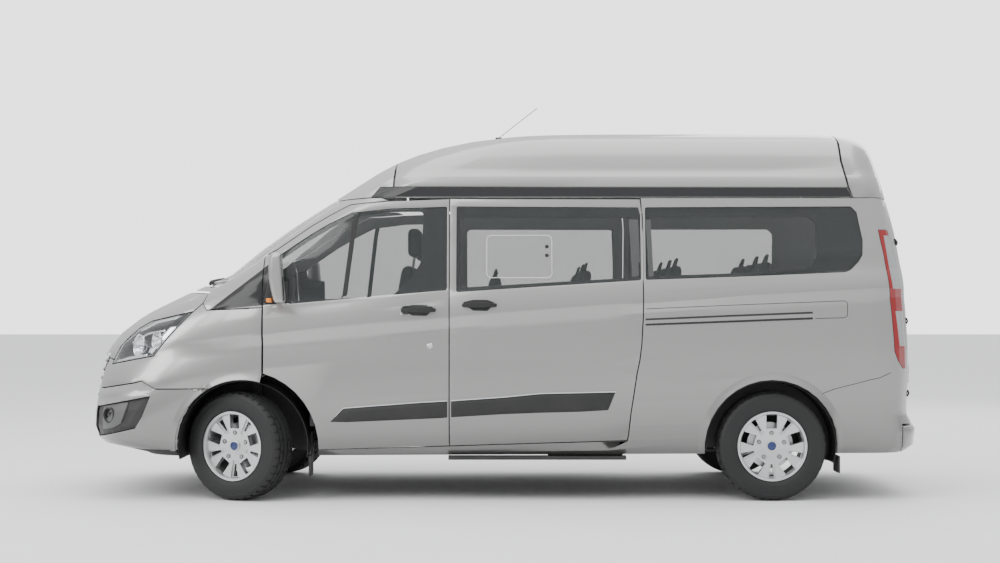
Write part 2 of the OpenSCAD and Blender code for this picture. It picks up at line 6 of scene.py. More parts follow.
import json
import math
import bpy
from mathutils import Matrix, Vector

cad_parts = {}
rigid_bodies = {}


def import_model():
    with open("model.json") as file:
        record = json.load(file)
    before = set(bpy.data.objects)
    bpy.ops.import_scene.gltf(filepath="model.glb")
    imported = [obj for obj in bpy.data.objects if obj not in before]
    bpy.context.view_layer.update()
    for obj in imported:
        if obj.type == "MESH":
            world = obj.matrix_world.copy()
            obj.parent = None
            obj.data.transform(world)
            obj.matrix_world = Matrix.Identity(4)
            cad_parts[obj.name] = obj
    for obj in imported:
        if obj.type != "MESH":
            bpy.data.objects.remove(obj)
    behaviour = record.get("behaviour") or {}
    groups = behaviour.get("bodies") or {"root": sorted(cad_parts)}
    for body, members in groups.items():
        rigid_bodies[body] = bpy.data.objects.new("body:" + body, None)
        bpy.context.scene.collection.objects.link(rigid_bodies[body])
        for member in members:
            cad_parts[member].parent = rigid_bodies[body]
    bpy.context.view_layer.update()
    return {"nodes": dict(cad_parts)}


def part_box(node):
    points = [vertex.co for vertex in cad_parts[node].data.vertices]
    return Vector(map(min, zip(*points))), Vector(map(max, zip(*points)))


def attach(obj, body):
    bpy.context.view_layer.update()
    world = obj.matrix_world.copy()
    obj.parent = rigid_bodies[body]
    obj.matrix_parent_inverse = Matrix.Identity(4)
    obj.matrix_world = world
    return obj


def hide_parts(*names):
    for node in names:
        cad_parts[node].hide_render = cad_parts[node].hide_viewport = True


bl_info = {
    "name": "Minibus Builder",
    "version": (1, 0, 0),
    "blender": (4, 5, 0),
    "location": "View3D > Sidebar > Minibus",
    "description": "Builds the visible pieces of a high-roof minibus around its packed frame",
    "category": "Object",
}

import bmesh
import bpy
from mathutils import Matrix, Vector
from mathutils.bvhtree import BVHTree

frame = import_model()

BODY = "body"
SIDES = ((1, "left"), (-1, "right"))
# Where rays start, clear of the body's sides and of its ends
FAR_SIDE, FAR_END = 1.4, 3.2
# How far the front wheels are turned at rest, in degrees
STEERED = -26


# ---------------------------------------------------------------- helpers


def deselect_all():
    if bpy.context.object and bpy.context.object.mode != "OBJECT":
        bpy.ops.object.mode_set(mode="OBJECT")
    for other in bpy.context.scene.objects:
        if not other.hide_viewport:
            other.select_set(False)


def activate(piece):
    deselect_all()
    piece.select_set(True)
    bpy.context.view_layer.objects.active = piece


def edit(piece, mode="FACE", chosen="DESELECT"):
    """Opens a piece in edit mode with nothing selected, or with everything."""
    activate(piece)
    bpy.ops.object.mode_set(mode="EDIT")
    bpy.ops.mesh.select_mode(type=mode)
    bpy.ops.mesh.select_all(action=chosen)


def select_faces(piece, test):
    mesh = bmesh.from_edit_mesh(piece.data)
    mesh.faces.ensure_lookup_table()
    for face in mesh.faces:
        face.select_set(bool(test(face)))
    mesh.select_flush_mode()
    bmesh.update_edit_mesh(piece.data)


def leave_edit():
    bpy.ops.object.mode_set(mode="OBJECT")


def apply_place(piece):
    activate(piece)
    bpy.ops.object.transform_apply(location=True, rotation=True, scale=True)


def apply_modifiers(piece):
    activate(piece)
    for modifier in list(piece.modifiers):
        bpy.ops.object.modifier_apply(modifier=modifier.name)


def smooth(piece, angle=30):
    activate(piece)
    bpy.ops.object.shade_smooth_by_angle(angle=math.radians(angle))


def outward(piece):
    edit(piece, chosen="SELECT")
    bpy.ops.mesh.normals_make_consistent(inside=False)
    leave_edit()


def subdivided(piece, cuts):
    edit(piece, chosen="SELECT")
    bpy.ops.mesh.subdivide(number_cuts=cuts)
    leave_edit()


def thickened(piece, thick, offset=-1):
    modifier = piece.modifiers.new("wall", "SOLIDIFY")
    modifier.thickness = thick
    modifier.offset = offset
    apply_modifiers(piece)


def bevelled(piece, width, segments=2, angle=35):
    modifier = piece.modifiers.new("edge", "BEVEL")
    modifier.width = width
    modifier.segments = segments
    modifier.limit_method = "ANGLE"
    modifier.angle_limit = math.radians(angle)
    modifier.use_clamp_overlap = True
    modifier.harden_normals = False
    apply_modifiers(piece)


def done(piece, name, body, material, replaces=()):
    piece.name = name
    piece.data.name = name
    if material is not None:
        piece.data.materials.clear()
        piece.data.materials.append(material)
    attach(piece, body)
    if replaces:
        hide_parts(*replaces)
    return piece


def block(low, high, bevel=0.004, segments=2):
    """A rounded block between two corners."""
    deselect_all()
    low, high = Vector(low), Vector(high)
    bpy.ops.mesh.primitive_cube_add(size=1, location=(low + high) / 2)
    piece = bpy.context.object
    piece.scale = high - low
    apply_place(piece)
    edit(piece, "EDGE", "SELECT")
    bpy.ops.mesh.bevel(offset=bevel, segments=segments, affect="EDGES")
    leave_edit()
    return piece


def turned(profile, centre, axis, steps=64):
    """A closed profile of (radius, along) points spun round an axis through the centre."""
    deselect_all()
    bpy.ops.mesh.primitive_circle_add(vertices=len(profile), radius=1)
    piece = bpy.context.object
    edit(piece, "VERT")
    mesh = bmesh.from_edit_mesh(piece.data)
    mesh.verts.ensure_lookup_table()
    for vert, (radius, along) in zip(mesh.verts, profile):
        vert.co = (radius, 0, along)
    bmesh.update_edit_mesh(piece.data)
    bpy.ops.mesh.select_all(action="SELECT")
    bpy.ops.mesh.spin(
        steps=steps, angle=2 * math.pi, center=(0, 0, 0), axis=(0, 0, 1), use_auto_merge=False
    )
    bpy.ops.mesh.select_all(action="SELECT")
    bpy.ops.mesh.remove_doubles(threshold=0.00002)
    bpy.ops.mesh.normals_make_consistent(inside=False)
    leave_edit()
    turn = Vector((0, 0, 1)).rotation_difference(Vector(axis).normalized())
    piece.data.transform(Matrix.Translation(centre) @ turn.to_matrix().to_4x4())
    return piece


def moved_copy(piece, move):
    """A copy of a piece with its own mesh, moved by a matrix."""
    twin = piece.copy()
    twin.data = piece.data.copy()
    bpy.context.scene.collection.objects.link(twin)
    twin.data.transform(move)
    if move.determinant() < 0:
        twin.data.flip_normals()
    return twin


def joined(parts):
    deselect_all()
    for part in parts:
        part.select_set(True)
    bpy.context.view_layer.objects.active = parts[0]
    if len(parts) > 1:
        bpy.ops.object.join()
    return bpy.context.object


def cad_copy(node):
    """A merged copy of a CAD node's mesh, ready to be finished."""
    source = frame["nodes"][node]
    piece = source.copy()
    piece.data = source.data.copy()
    for key in list(piece.keys()):
        del piece[key]
    piece.parent = None
    piece.hide_viewport = False
    piece.hide_render = False
    bpy.context.scene.collection.objects.link(piece)
    edit(piece, chosen="SELECT")
    bpy.ops.mesh.remove_doubles(threshold=0.00005)
    leave_edit()
    return piece


def skin_tree(names):
    """Something to drop pieces onto: the named CAD nodes' surfaces."""
    points, faces = [], []
    for name in names:
        mesh = frame["nodes"][name].data
        start = len(points)
        points.extend(vert.co.copy() for vert in mesh.vertices)
        faces.extend([start + index for index in poly.vertices] for poly in mesh.polygons)
    return BVHTree.FromPolygons(points, faces)


def side_hit(tree, side, x, z):
    """Where a ray from one side first meets a surface."""
    return tree.ray_cast(Vector((x, side * FAR_SIDE, z)), Vector((0, -side, 0)))


def inside(outline, x, z):
    """Whether a point is inside a closed outline of (x, z) points."""
    hit = False
    for (xa, za), (xb, zb) in zip(outline, outline[1:] + outline[:1]):
        if (za > z) != (zb > z) and x < (xb - xa) * (z - za) / (zb - za) + xa:
            hit = not hit
    return hit


def along(line, t):
    """The point at share t of the way along a line of points."""
    spans = [math.dist(a, b) for a, b in zip(line, line[1:])]
    want = t * sum(spans)
    for a, b, span in zip(line, line[1:], spans):
        if want <= span or b is line[-1]:
            u = min(max(want / span, 0), 1) if span else 0
            return [p + (q - p) * u for p, q in zip(a, b)]
        want -= span
    return list(line[-1])


def sheet(columns, rows):
    """A flat grid, and each of its points with its shares across and down."""
    deselect_all()
    bpy.ops.mesh.primitive_grid_add(x_subdivisions=columns, y_subdivisions=rows, size=2)
    piece = bpy.context.object
    return piece, [(vert, (vert.co.x + 1) / 2, (vert.co.y + 1) / 2) for vert in piece.data.vertices]


def between(top, bottom, u, v):
    """The point at share u along two lines and share v of the way from one to the other."""
    return [p + (q - p) * v for p, q in zip(along(top, u), along(bottom, u))]


def strip_on_skin(tree, side, top, bottom, columns, rows, out, thick, bevel=0.0015):
    """A strip between two (x, z) lines, laid on the body's side and given a thickness."""
    piece, points = sheet(columns, rows)
    for vert, u, v in points:
        x, z = between(top, bottom, u, v)
        hit = side_hit(tree, side, x, z)
        if hit[0] is None:
            hit = tree.find_nearest(Vector((x, side * 0.8, z)))
            x, z = hit[0].x, hit[0].z
        y = abs(hit[0].y)
        proud = out(u, v) if callable(out) else out
        vert.co = (x, side * (y + proud), z)
    return walled(piece, Vector((0, side, 0)), thick, bevel)


def strip_on_end(tree, facing, top, bottom, columns, rows, out, thick, bevel=0.0015):
    """A strip between two (y, z) lines, laid on the nose (facing 1) or the tail (facing -1)."""
    piece, points = sheet(columns, rows)
    for vert, u, v in points:
        y, z = between(top, bottom, u, v)
        hit = tree.ray_cast(Vector((facing * FAR_END, y, z)), Vector((-facing, 0, 0)))
        x = hit[0].x if hit[0] is not None else facing * 2.6
        proud = out(u, v) if callable(out) else out
        vert.co = (x + facing * proud, y, z)
    return walled(piece, Vector((facing, 0, 0)), thick, bevel)


def walled(piece, direction, thick, bevel):
    outward_open(piece, direction)
    thickened(piece, thick)
    if bevel:
        bevelled(piece, bevel, 2, 40)
    smooth(piece, 40)
    return piece


def tube(points, radius, closed=False):
    """A round bar along a line of points."""
    curve = bpy.data.curves.new("bar", "CURVE")
    curve.dimensions = "3D"
    curve.bevel_depth = radius
    curve.bevel_resolution = 3
    curve.use_fill_caps = True
    spline = curve.splines.new("POLY")
    spline.points.add(len(points) - 1)
    for point, place in zip(spline.points, points):
        point.co = (*place, 1)
    spline.use_cyclic_u = closed
    bar = bpy.data.objects.new("bar", curve)
    bpy.context.scene.collection.objects.link(bar)
    activate(bar)
    bpy.ops.object.convert(target="MESH")
    smooth(bpy.context.object, 50)
    return bpy.context.object


def arc_points(centre, radius, start, end, count):
    """(x, z) points on an arc, its angles in degrees."""
    angles = [math.radians(start + (end - start) * i / count) for i in range(count + 1)]
    return [(centre[0] + radius * math.cos(a), centre[1] + radius * math.sin(a)) for a in angles]


def outward_open(piece, direction):
    """Turns an open sheet so that its faces look along a direction."""
    total = sum((poly.normal.dot(direction) * poly.area for poly in piece.data.polygons), 0.0)
    if total < 0:
        piece.data.flip_normals()


# ---------------------------------------------------------------- materials


def new_group(name, inputs, outputs):
    group = bpy.data.node_groups.new(name, "ShaderNodeTree")
    for label, kind, default in inputs:
        socket = group.interface.new_socket(name=label, in_out="INPUT", socket_type=kind)
        if default is not None:
            socket.default_value = default
    for label, kind in outputs:
        group.interface.new_socket(name=label, in_out="OUTPUT", socket_type=kind)
    return group, group.nodes.new("NodeGroupInput"), group.nodes.new("NodeGroupOutput")


def grain_group():
    """Fine grain: a height and a mask, from two sizes of noise."""
    if "Fine Grain" in bpy.data.node_groups:
        return bpy.data.node_groups["Fine Grain"]
    group, enter, leave = new_group(
        "Fine Grain",
        [("Vector", "NodeSocketVector", None), ("Scale", "NodeSocketFloat", 800.0)],
        [("Height", "NodeSocketFloat"), ("Mask", "NodeSocketFloat")],
    )
    nodes, links = group.nodes, group.links
    fine = nodes.new("ShaderNodeTexNoise")
    fine.inputs["Detail"].default_value = 3
    broad = nodes.new("ShaderNodeTexNoise")
    broad.inputs["Scale"].default_value = 2.3
    broad.inputs["Detail"].default_value = 4
    links.new(enter.outputs["Vector"], fine.inputs["Vector"])
    links.new(enter.outputs["Scale"], fine.inputs["Scale"])
    links.new(enter.outputs["Vector"], broad.inputs["Vector"])
    links.new(fine.outputs["Fac"], leave.inputs["Height"])
    links.new(broad.outputs["Fac"], leave.inputs["Mask"])
    return group


def road_dust_group():
    """Road dust: thickest low down, broken up by noise."""
    if "Road Dust" in bpy.data.node_groups:
        return bpy.data.node_groups["Road Dust"]
    group, enter, leave = new_group(
        "Road Dust",
        [
            ("Vector", "NodeSocketVector", None),
            ("Top", "NodeSocketFloat", 0.75),
            ("Amount", "NodeSocketFloat", 0.3),
        ],
        [("Dust", "NodeSocketFloat")],
    )
    nodes, links = group.nodes, group.links
    split = nodes.new("ShaderNodeSeparateXYZ")
    noise = nodes.new("ShaderNodeTexNoise")
    noise.inputs["Scale"].default_value = 6
    noise.inputs["Detail"].default_value = 6
    low = nodes.new("ShaderNodeMapRange")
    low.inputs["From Min"].default_value = 0.2
    low.inputs["To Min"].default_value = 1
    low.inputs["To Max"].default_value = 0
    patch = nodes.new("ShaderNodeMapRange")
    patch.inputs["From Min"].default_value = 0.3
    patch.inputs["From Max"].default_value = 0.75
    times = nodes.new("ShaderNodeMath")
    times.operation = "MULTIPLY"
    share = nodes.new("ShaderNodeMath")
    share.operation = "MULTIPLY"
    links.new(enter.outputs["Vector"], split.inputs[0])
    links.new(enter.outputs["Vector"], noise.inputs["Vector"])
    links.new(split.outputs["Z"], low.inputs["Value"])
    links.new(enter.outputs["Top"], low.inputs["From Max"])
    links.new(noise.outputs["Fac"], patch.inputs["Value"])
    links.new(low.outputs[0], times.inputs[0])
    links.new(patch.outputs[0], times.inputs[1])
    links.new(times.outputs[0], share.inputs[0])
    links.new(enter.outputs["Amount"], share.inputs[1])
    links.new(share.outputs[0], leave.inputs["Dust"])
    return group


class Maker:
    """Builds one material: a Principled shader and the nodes that feed it."""

    def __init__(self, name):
        self.material = bpy.data.materials.new(name)
        self.material.use_nodes = True
        self.nodes = self.material.node_tree.nodes
        self.links = self.material.node_tree.links
        self.shader = self.nodes["Principled BSDF"]
        coordinates = self.nodes.new("ShaderNodeTexCoord")
        self.place = coordinates.outputs["Object"]

    def set(self, **values):
        for label, value in values.items():
            self.shader.inputs[label.replace("_", " ")].default_value = value

    def node(self, kind, **values):
        made = self.nodes.new(kind)
        for label, value in values.items():
            made.inputs[label.replace("_", " ")].default_value = value
        return made

    def link(self, a, b):
        self.links.new(a, b)

    def math(self, operation, a, b=None, clamp=False):
        made = self.nodes.new("ShaderNodeMath")
        made.operation = operation
        made.use_clamp = clamp
        for index, value in enumerate((a, b)):
            if value is None:
                continue
            if isinstance(value, (int, float)):
                made.inputs[index].default_value = value
            else:
                self.link(value, made.inputs[index])
        return made.outputs[0]

    def mix(self, mask, a, b):
        made = self.nodes.new("ShaderNodeMix")
        made.data_type = "RGBA"
        self.link(mask, made.inputs["Factor"])
        for value, label in ((a, "A"), (b, "B")):
            socket = next(s for s in made.inputs if s.name == label and s.type == "RGBA")
            if isinstance(value, tuple):
                socket.default_value = (*value[:3], 1)
            else:
                self.link(value, socket)
        return next(s for s in made.outputs if s.type == "RGBA")

    def grain(self, scale):
        made = self.nodes.new("ShaderNodeGroup")
        made.node_tree = grain_group()
        made.inputs["Scale"].default_value = scale
        self.link(self.place, made.inputs["Vector"])
        return made.outputs["Height"], made.outputs["Mask"]

    def dust(self, top, amount):
        made = self.nodes.new("ShaderNodeGroup")
        made.node_tree = road_dust_group()
        made.inputs["Top"].default_value = top
        made.inputs["Amount"].default_value = amount
        self.link(self.place, made.inputs["Vector"])
        return made.outputs["Dust"]

    def bump(self, height, strength, distance):
        made = self.node("ShaderNodeBump", Strength=strength, Distance=distance)
        self.link(height, made.inputs["Height"])
        self.link(made.outputs[0], self.shader.inputs["Normal"])

    def colour(self, socket):
        self.link(socket, self.shader.inputs["Base Color"])

    def rough(self, mask, low, high):
        made = self.node("ShaderNodeMapRange", To_Min=low, To_Max=high)
        self.link(mask, made.inputs["Value"])
        self.link(made.outputs[0], self.shader.inputs["Roughness"])

    def half(self, normal, limit, soft=0.0008):
        """1 on the far side of a plane: where the dot product with the normal is above the limit."""
        dot = self.nodes.new("ShaderNodeVectorMath")
        dot.operation = "DOT_PRODUCT"
        self.link(self.place, dot.inputs[0])
        dot.inputs[1].default_value = normal
        edge = self.node("ShaderNodeMapRange", From_Min=limit - soft, From_Max=limit + soft)
        self.link(dot.outputs["Value"], edge.inputs["Value"])
        return edge.outputs[0]


def paint(name, colour, dust_amount=0.8):
    m = Maker(name)
    m.set(Metallic=0.72, Coat_Weight=0.9, Coat_Roughness=0.04, Roughness=0.32)
    height = m.grain(2600)[0]
    flakes = m.node("ShaderNodeTexVoronoi", Scale=1500)
    m.link(m.place, flakes.inputs["Vector"])
    bright = tuple(min(1, c * 1.12) for c in colour)
    dim = tuple(c * 0.9 for c in colour)
    tone = m.mix(flakes.outputs["Distance"], bright, dim)
    # Painted shade: the paint darkens smoothly below about 0.6 m towards near black, for the shade on the
    # lower panels; patchy road dust darkens it further
    low = m.math("MULTIPLY", m.half((0, 0, -1), -0.60, 0.32), 0.62)
    dust = m.dust(0.7, dust_amount * 0.3)
    dust_and_painted_shade = m.math("MAXIMUM", low, dust)
    m.colour(m.mix(dust_and_painted_shade, tone, (0.07, 0.068, 0.066)))
    m.rough(dust, 0.3, 0.65)
    m.bump(height, 0.03, 0.0004)
    return m.material


def plastic(name, colour, roughness=0.55, scale=900, strength=0.35, dust_amount=0.25):
    m = Maker(name)
    m.set(Roughness=roughness)
    height, mask = m.grain(scale)
    tone = m.mix(mask, tuple(c * 0.82 for c in colour), tuple(min(1, c * 1.2) for c in colour))
    dust = m.dust(0.8, dust_amount)
    m.colour(m.mix(dust, tone, (0.12, 0.11, 0.10)))
    m.rough(mask, max(roughness - 0.1, 0.02), min(roughness + 0.12, 1))
    m.bump(height, strength, 0.0006)
    return m.material


def metal(name, colour, roughness=0.35, metallic=1.0, scale=500, dust_amount=0.2):
    m = Maker(name)
    m.set(Metallic=metallic, Roughness=roughness)
    height, mask = m.grain(scale)
    tone = m.mix(mask, tuple(c * 0.86 for c in colour), tuple(min(1, c * 1.1) for c in colour))
    dust = m.dust(0.7, dust_amount)
    m.colour(m.mix(dust, tone, (0.2, 0.17, 0.14)))
    m.rough(mask, roughness * 0.8, min(roughness * 1.25, 1))
    m.bump(height, 0.12, 0.0005)
    return m.material


def window(name, colour, cover):
    """Tinted glass as a thin dark cover, so that daylight reaches the cabin."""
    m = Maker(name)
    m.set(Roughness=0.03, IOR=1.52, Specular_IOR_Level=1.0)
    mask = m.grain(3)[1]
    m.colour(m.mix(mask, colour, tuple(c * 1.3 for c in colour)))
    m.rough(mask, 0.02, 0.06)
    share = m.node("ShaderNodeMapRange", To_Min=cover - 0.02, To_Max=cover + 0.02)
    m.link(mask, share.inputs["Value"])
    m.link(share.outputs[0], m.shader.inputs["Alpha"])
    m.material.surface_render_method = "BLENDED"
    return m.material


def glass(name, colour, roughness=0.0):
    m = Maker(name)
    m.set(Transmission_Weight=1.0, IOR=1.45, Roughness=roughness)
    mask = m.grain(60)[1]
    m.colour(m.mix(mask, tuple(c * 0.94 for c in colour), colour))
    m.rough(mask, roughness, roughness + 0.03)
    return m.material


def fabric(name, colour, accent):
    m = Maker(name)
    m.set(Roughness=0.92, Sheen_Weight=0.25, Sheen_Roughness=0.5)
    height, mask = m.grain(1500)
    weave = m.node("ShaderNodeTexWave", Scale=420, Distortion=1.2, Detail=2)
    m.link(m.place, weave.inputs["Vector"])
    cross = m.node("ShaderNodeTexWave", Scale=420, Distortion=1.2, Detail=2)
    cross.bands_direction = "Z"
    m.link(m.place, cross.inputs["Vector"])
    cloth = m.math("MULTIPLY", weave.outputs["Fac"], cross.outputs["Fac"])
    m.colour(m.mix(cloth, m.mix(mask, colour, tuple(c * 1.25 for c in colour)), accent))
    m.bump(m.math("ADD", cloth, height), 0.5, 0.0008)
    return m.material


def tail_lamp(name):
    m = Maker(name)
    m.set(Roughness=0.08, Coat_Weight=0.35, Coat_Roughness=0.02)
    ribs = m.node("ShaderNodeTexWave", Scale=60)
    ribs.bands_direction = "Z"
    m.link(m.place, ribs.inputs["Vector"])
    mask = m.grain(300)[1]
    red = m.mix(mask, (0.20, 0.001, 0.002), (0.28, 0.003, 0.004))
    clear = m.mix(mask, (0.24, 0.245, 0.25), (0.34, 0.34, 0.345))
    upper = m.math("SUBTRACT", m.half((0, 0, 1), 1.322), m.half((0, 0, 1), 1.655))
    middle = m.math("SUBTRACT", m.half((0, 0, 1), 0.963), m.half((0, 0, 1), 1.182))
    inner = m.half((-1, 0, 0.132), 2.604)
    pale = m.math("MULTIPLY", m.math("ADD", upper, middle, clamp=True), inner)
    m.colour(m.mix(pale, red, clear))
    m.rough(mask, 0.05, 0.12)
    m.bump(ribs.outputs["Fac"], 0.25, 0.001)
    return m.material


FINISHES = {
    "gloss_black": (plastic, "Gloss Black", (0.012, 0.012, 0.013), 0.12, 400, 0.04, 0.15),
    "seal": (plastic, "Black Rubber Seal", (0.018, 0.018, 0.018), 0.7, 700, 0.2),
    "rubber": (plastic, "Tyre Rubber", (0.007, 0.0073, 0.0078), 0.62, 500, 0.35, 0.04),
    "alloy": (metal, "Silver Alloy", (0.62, 0.63, 0.64), 0.34, 0.85),
    "chrome": (metal, "Bright Chrome", (0.82, 0.83, 0.84), 0.08, 1.0, 200, 0.05),
    "steel": (metal, "Brake Steel", (0.36, 0.35, 0.34), 0.42),
    "iron": (metal, "Cast Iron", (0.09, 0.085, 0.08), 0.7, 0.6, 180),
    "chassis": (metal, "Chassis Black", (0.03, 0.03, 0.032), 0.6, 0.2, 220),
    "window": (window, "Tinted Window Glass", (0.020, 0.026, 0.025), 0.36),
    "lens": (glass, "Clear Lens", (0.93, 0.95, 0.96)),
    "lining": (plastic, "Light Interior Lining", (0.66, 0.66, 0.65), 0.85, 600, 0.2, 0.0),
    "floor_mat": (plastic, "Ribbed Floor Mat", (0.07, 0.07, 0.075), 0.8, 300, 0.6, 0.0),
    "orange": (plastic, "Orange Lens", (0.75, 0.22, 0.01), 0.15, 300, 0.1, 0.05),
    "plate": (plastic, "Blank Plate White", (0.78, 0.78, 0.76), 0.4, 300, 0.05, 0.1),
    # Painted reflection: a mid grey laid over the black pillars under the side glass
    "pillar": (plastic, "Grey Pillar Painted Reflection", (0.30, 0.30, 0.30), 0.5, 300, 0.1, 0.0),
    "grey_trim": (plastic, "Grey Moulded Trim", (0.085, 0.085, 0.087), 0.5, 800, 0.25, 0.2),
    "cap_blue": (plastic, "Plain Blue Hub Cap", (0.02, 0.035, 0.13), 0.2, 300, 0.05, 0.1),
    "lamp_bucket": (metal, "Grey Lamp Bucket", (0.34, 0.35, 0.36), 0.3, 0.85, 200, 0.0),
    "tail_lamp": (tail_lamp, "Tail Lamp Lens"),
}
LOOKS = {}


def look(name):
    """Each material is made once, when a piece first asks for it."""
    if name not in LOOKS:
        colours = bpy.context.scene.minibus_colours
        cloth = tuple(colours.cloth)
        chosen = {
            "paint": (paint, "Silver Metallic Paint", tuple(colours.body)),
            "trim": (plastic, "Grained Dark Plastic", tuple(colours.trim)),
            "cloth": (fabric, "Dark Seat Cloth", cloth, tuple(c * 2.2 for c in cloth)),
        }
        make, *values = chosen.get(name) or FINISHES[name]
        LOOKS[name] = make(*values)
    return LOOKS[name]


# ---------------------------------------------------------------- sizes and colours


class MinibusColours(bpy.types.PropertyGroup):
    body: bpy.props.FloatVectorProperty(
        name="Body", description="Colour of the painted panels", subtype="COLOR",
        size=3, min=0, max=1, default=(0.345, 0.342, 0.336),
    )
    trim: bpy.props.FloatVectorProperty(
        name="Trim", description="Colour of the grained plastic trim", subtype="COLOR",
        size=3, min=0, max=1, default=(0.009, 0.0093, 0.0096),
    )
    cloth: bpy.props.FloatVectorProperty(
        name="Cloth", description="Colour of the seat cloth", subtype="COLOR",
        size=3, min=0, max=1, default=(0.016, 0.017, 0.020),
    )


class MinibusSizes(bpy.types.PropertyGroup):
    edge: bpy.props.FloatProperty(
        name="Panel edge", description="Rounding of the panels' edges",
        subtype="DISTANCE", unit="LENGTH", default=0.0025, min=0.0005, max=0.006,
    )
    camera_distance: bpy.props.FloatProperty(
        name="Camera distance", description="From the middle of the vehicle to the camera",
        subtype="DISTANCE", unit="LENGTH", default=11.693, min=5, max=30,
    )
    camera_height: bpy.props.FloatProperty(
        name="Camera height", description="Height of the camera above the ground",
        subtype="DISTANCE", unit="LENGTH", default=1.22, min=0.2, max=5,
    )
    seat_width: bpy.props.FloatProperty(
        name="Seat width", description="Width of one passenger seat's cushion",
        subtype="DISTANCE", unit="LENGTH", default=0.42, min=0.35, max=0.5,
    )


FRONT_GLASS = [
    (1.335, 1.226), (1.335, 1.365), (1.44, 1.385), (1.462, 1.488), (1.4, 1.53), (1.205, 1.66),
    (1.082, 1.733),
    (0.945, 1.798), (0.708, 1.824), (0.348, 1.836), (0.348, 1.312),
]
SLIDING_GLASS = [(0.29, 1.3), (0.29, 1.838), (-0.848, 1.832), (-0.86, 1.78), (-0.86, 1.374)]
QUARTER_GLASS = [
    (-0.89, 1.376), (-0.89, 1.832), (-2.18, 1.838), (-2.215, 1.8), (-2.228, 1.721),
    (-2.246, 1.627), (-2.242, 1.532), (-2.215, 1.488), (-2.165, 1.438), (-2.133, 1.424),
    (-1.471, 1.396),
]
# Which body each painted panel rides on
PANELS = {
    "front_frame": BODY, "front_wings": BODY, "front_bumper": BODY, "side_panels": BODY,
    "sliding_doors": BODY, "roof": BODY, "rear_bumper": BODY, "bonnet": "bonnet_lid",
    "front_door_left": "door_front_left", "front_door_right": "door_front_right",
    "rear_door_left": "door_rear_left", "rear_door_right": "door_rear_right",
}
GLASS = {
    "windscreen": BODY, "side_glass": BODY, "front_door_glass_left": "door_front_left",
    "front_door_glass_right": "door_front_right", "rear_glass_left": "door_rear_left",
    "rear_glass_right": "door_rear_right",
}


def door_half_width(z):
    """How far out the door's own surface reaches near the mirror."""
    return 0.99 - 0.17 * max(z - 1.24, 0)


def under_glass(face):
    centre = face.calc_center_median()
    if centre.x < -2.3:
        return 1.24 < centre.z < 1.785 and 0.07 < abs(centre.y) < 0.73 and centre.x > -2.6
    return any(inside(o, centre.x, centre.z) for o in (FRONT_GLASS, SLIDING_GLASS, QUARTER_GLASS))


class MINIBUS_OT_body_panels(bpy.types.Operator):
    """Finishes the painted panels: merged, edges rounded, lined inside and black under the glass"""

    bl_idname = "minibus.body_panels"
    bl_label = "Body panels"

    def execute(self, context):
        edge = context.scene.minibus_sizes.edge
        for node, body in PANELS.items():
            piece = cad_copy(node)
            if node.startswith("front_door"):
                self.strip_door(piece)
            piece.data.materials.clear()
            for name in ("paint", "lining", "seal"):
                piece.data.materials.append(look(name))
            for poly in piece.data.polygons:
                centre = Vector(poly.center)
                axis = Vector((min(max(centre.x, -2.0), 1.2), 0, min(max(centre.z, 0.9), 1.6)))
                facing = poly.normal.dot((centre - axis).normalized())
                poly.material_index = 1 if facing < -0.35 else 0
            edit(piece)
            mesh = bmesh.from_edit_mesh(piece.data)
            for face in mesh.faces:
                outside = face.material_index == 0
                if outside and node not in ("roof", "front_frame", "bonnet") and under_glass(face):
                    face.material_index = 2
            bmesh.update_edit_mesh(piece.data)
            leave_edit()
            if node.startswith(("front_frame", "front_door")):
                self.black_corner(piece)
            if node == "front_bumper":
                self.dark_chin_lip_and_shade(piece)
            bevelled(piece, edge, 2, 38)
            smooth(piece, 32)
            done(piece, node + "_panel", body, None, (node,))
        return {"FINISHED"}

    def strip_door(self, piece):
        """Takes the plain mirror and handle off a front door, which get detailed pieces instead."""
        def plain(face):
            c = face.calc_center_median()
            handle = 0.42 < c.x < 0.64 and 1.15 < c.z < 1.22 and abs(c.y) > 0.9935
            mirror = 1.3 < c.x < 1.475 and c.z > 1.2 and abs(c.y) > door_half_width(c.z)
            return handle or mirror

        edit(piece)
        select_faces(piece, plain)
        bpy.ops.mesh.delete(type="FACE")
        bpy.ops.mesh.select_mode(type="EDGE")
        bpy.ops.mesh.select_all(action="DESELECT")
        bpy.ops.mesh.select_non_manifold()
        bpy.ops.mesh.fill_holes(sides=0)
        bpy.ops.mesh.select_mode(type="FACE")
        leave_edit()

    def black_corner(self, piece):
        """The gloss black corner between the front pillar, the door's mirror and the wing."""
        cuts = (
            (Vector((1.835, 0, 1.186)), Vector((1.444, 0, 1.491))),
            (Vector((1.835, 0, 1.186)), Vector((1.300, 0, 1.236))),
        )
        normals = []
        edit(piece)
        for low, high in cuts:
            normal = (high - low).cross(Vector((0, 1, 0))).normalized()
            normals.append(normal if normal.z < 0 else -normal)
            bpy.ops.mesh.select_all(action="SELECT")
            bpy.ops.mesh.bisect(plane_co=low, plane_no=normal)
        leave_edit()
        piece.data.materials.append(look("gloss_black"))
        black = len(piece.data.materials) - 1
        for poly in piece.data.polygons:
            c = poly.center
            below = (c - cuts[0][0]).dot(normals[0]) > 0
            above = (c - cuts[1][0]).dot(normals[1]) < 0
            if below and above and 1.3 < c.x < 1.86 and c.z < 1.5 and abs(c.y) > 0.7:
                poly.material_index = black

    def dark_chin_lip_and_shade(self, piece):
        # Painted shade, partly real: the bumper below 0.318 m gets the dark trim, for its black lower lip
        # and for the shade under the nose
        edit(piece, chosen="SELECT")
        bpy.ops.mesh.bisect(plane_co=(0, 0, 0.318), plane_no=(0, 0, 1))
        leave_edit()
        piece.data.materials.append(look("trim"))
        for poly in piece.data.polygons:
            if poly.center.z < 0.318:
                poly.material_index = 3


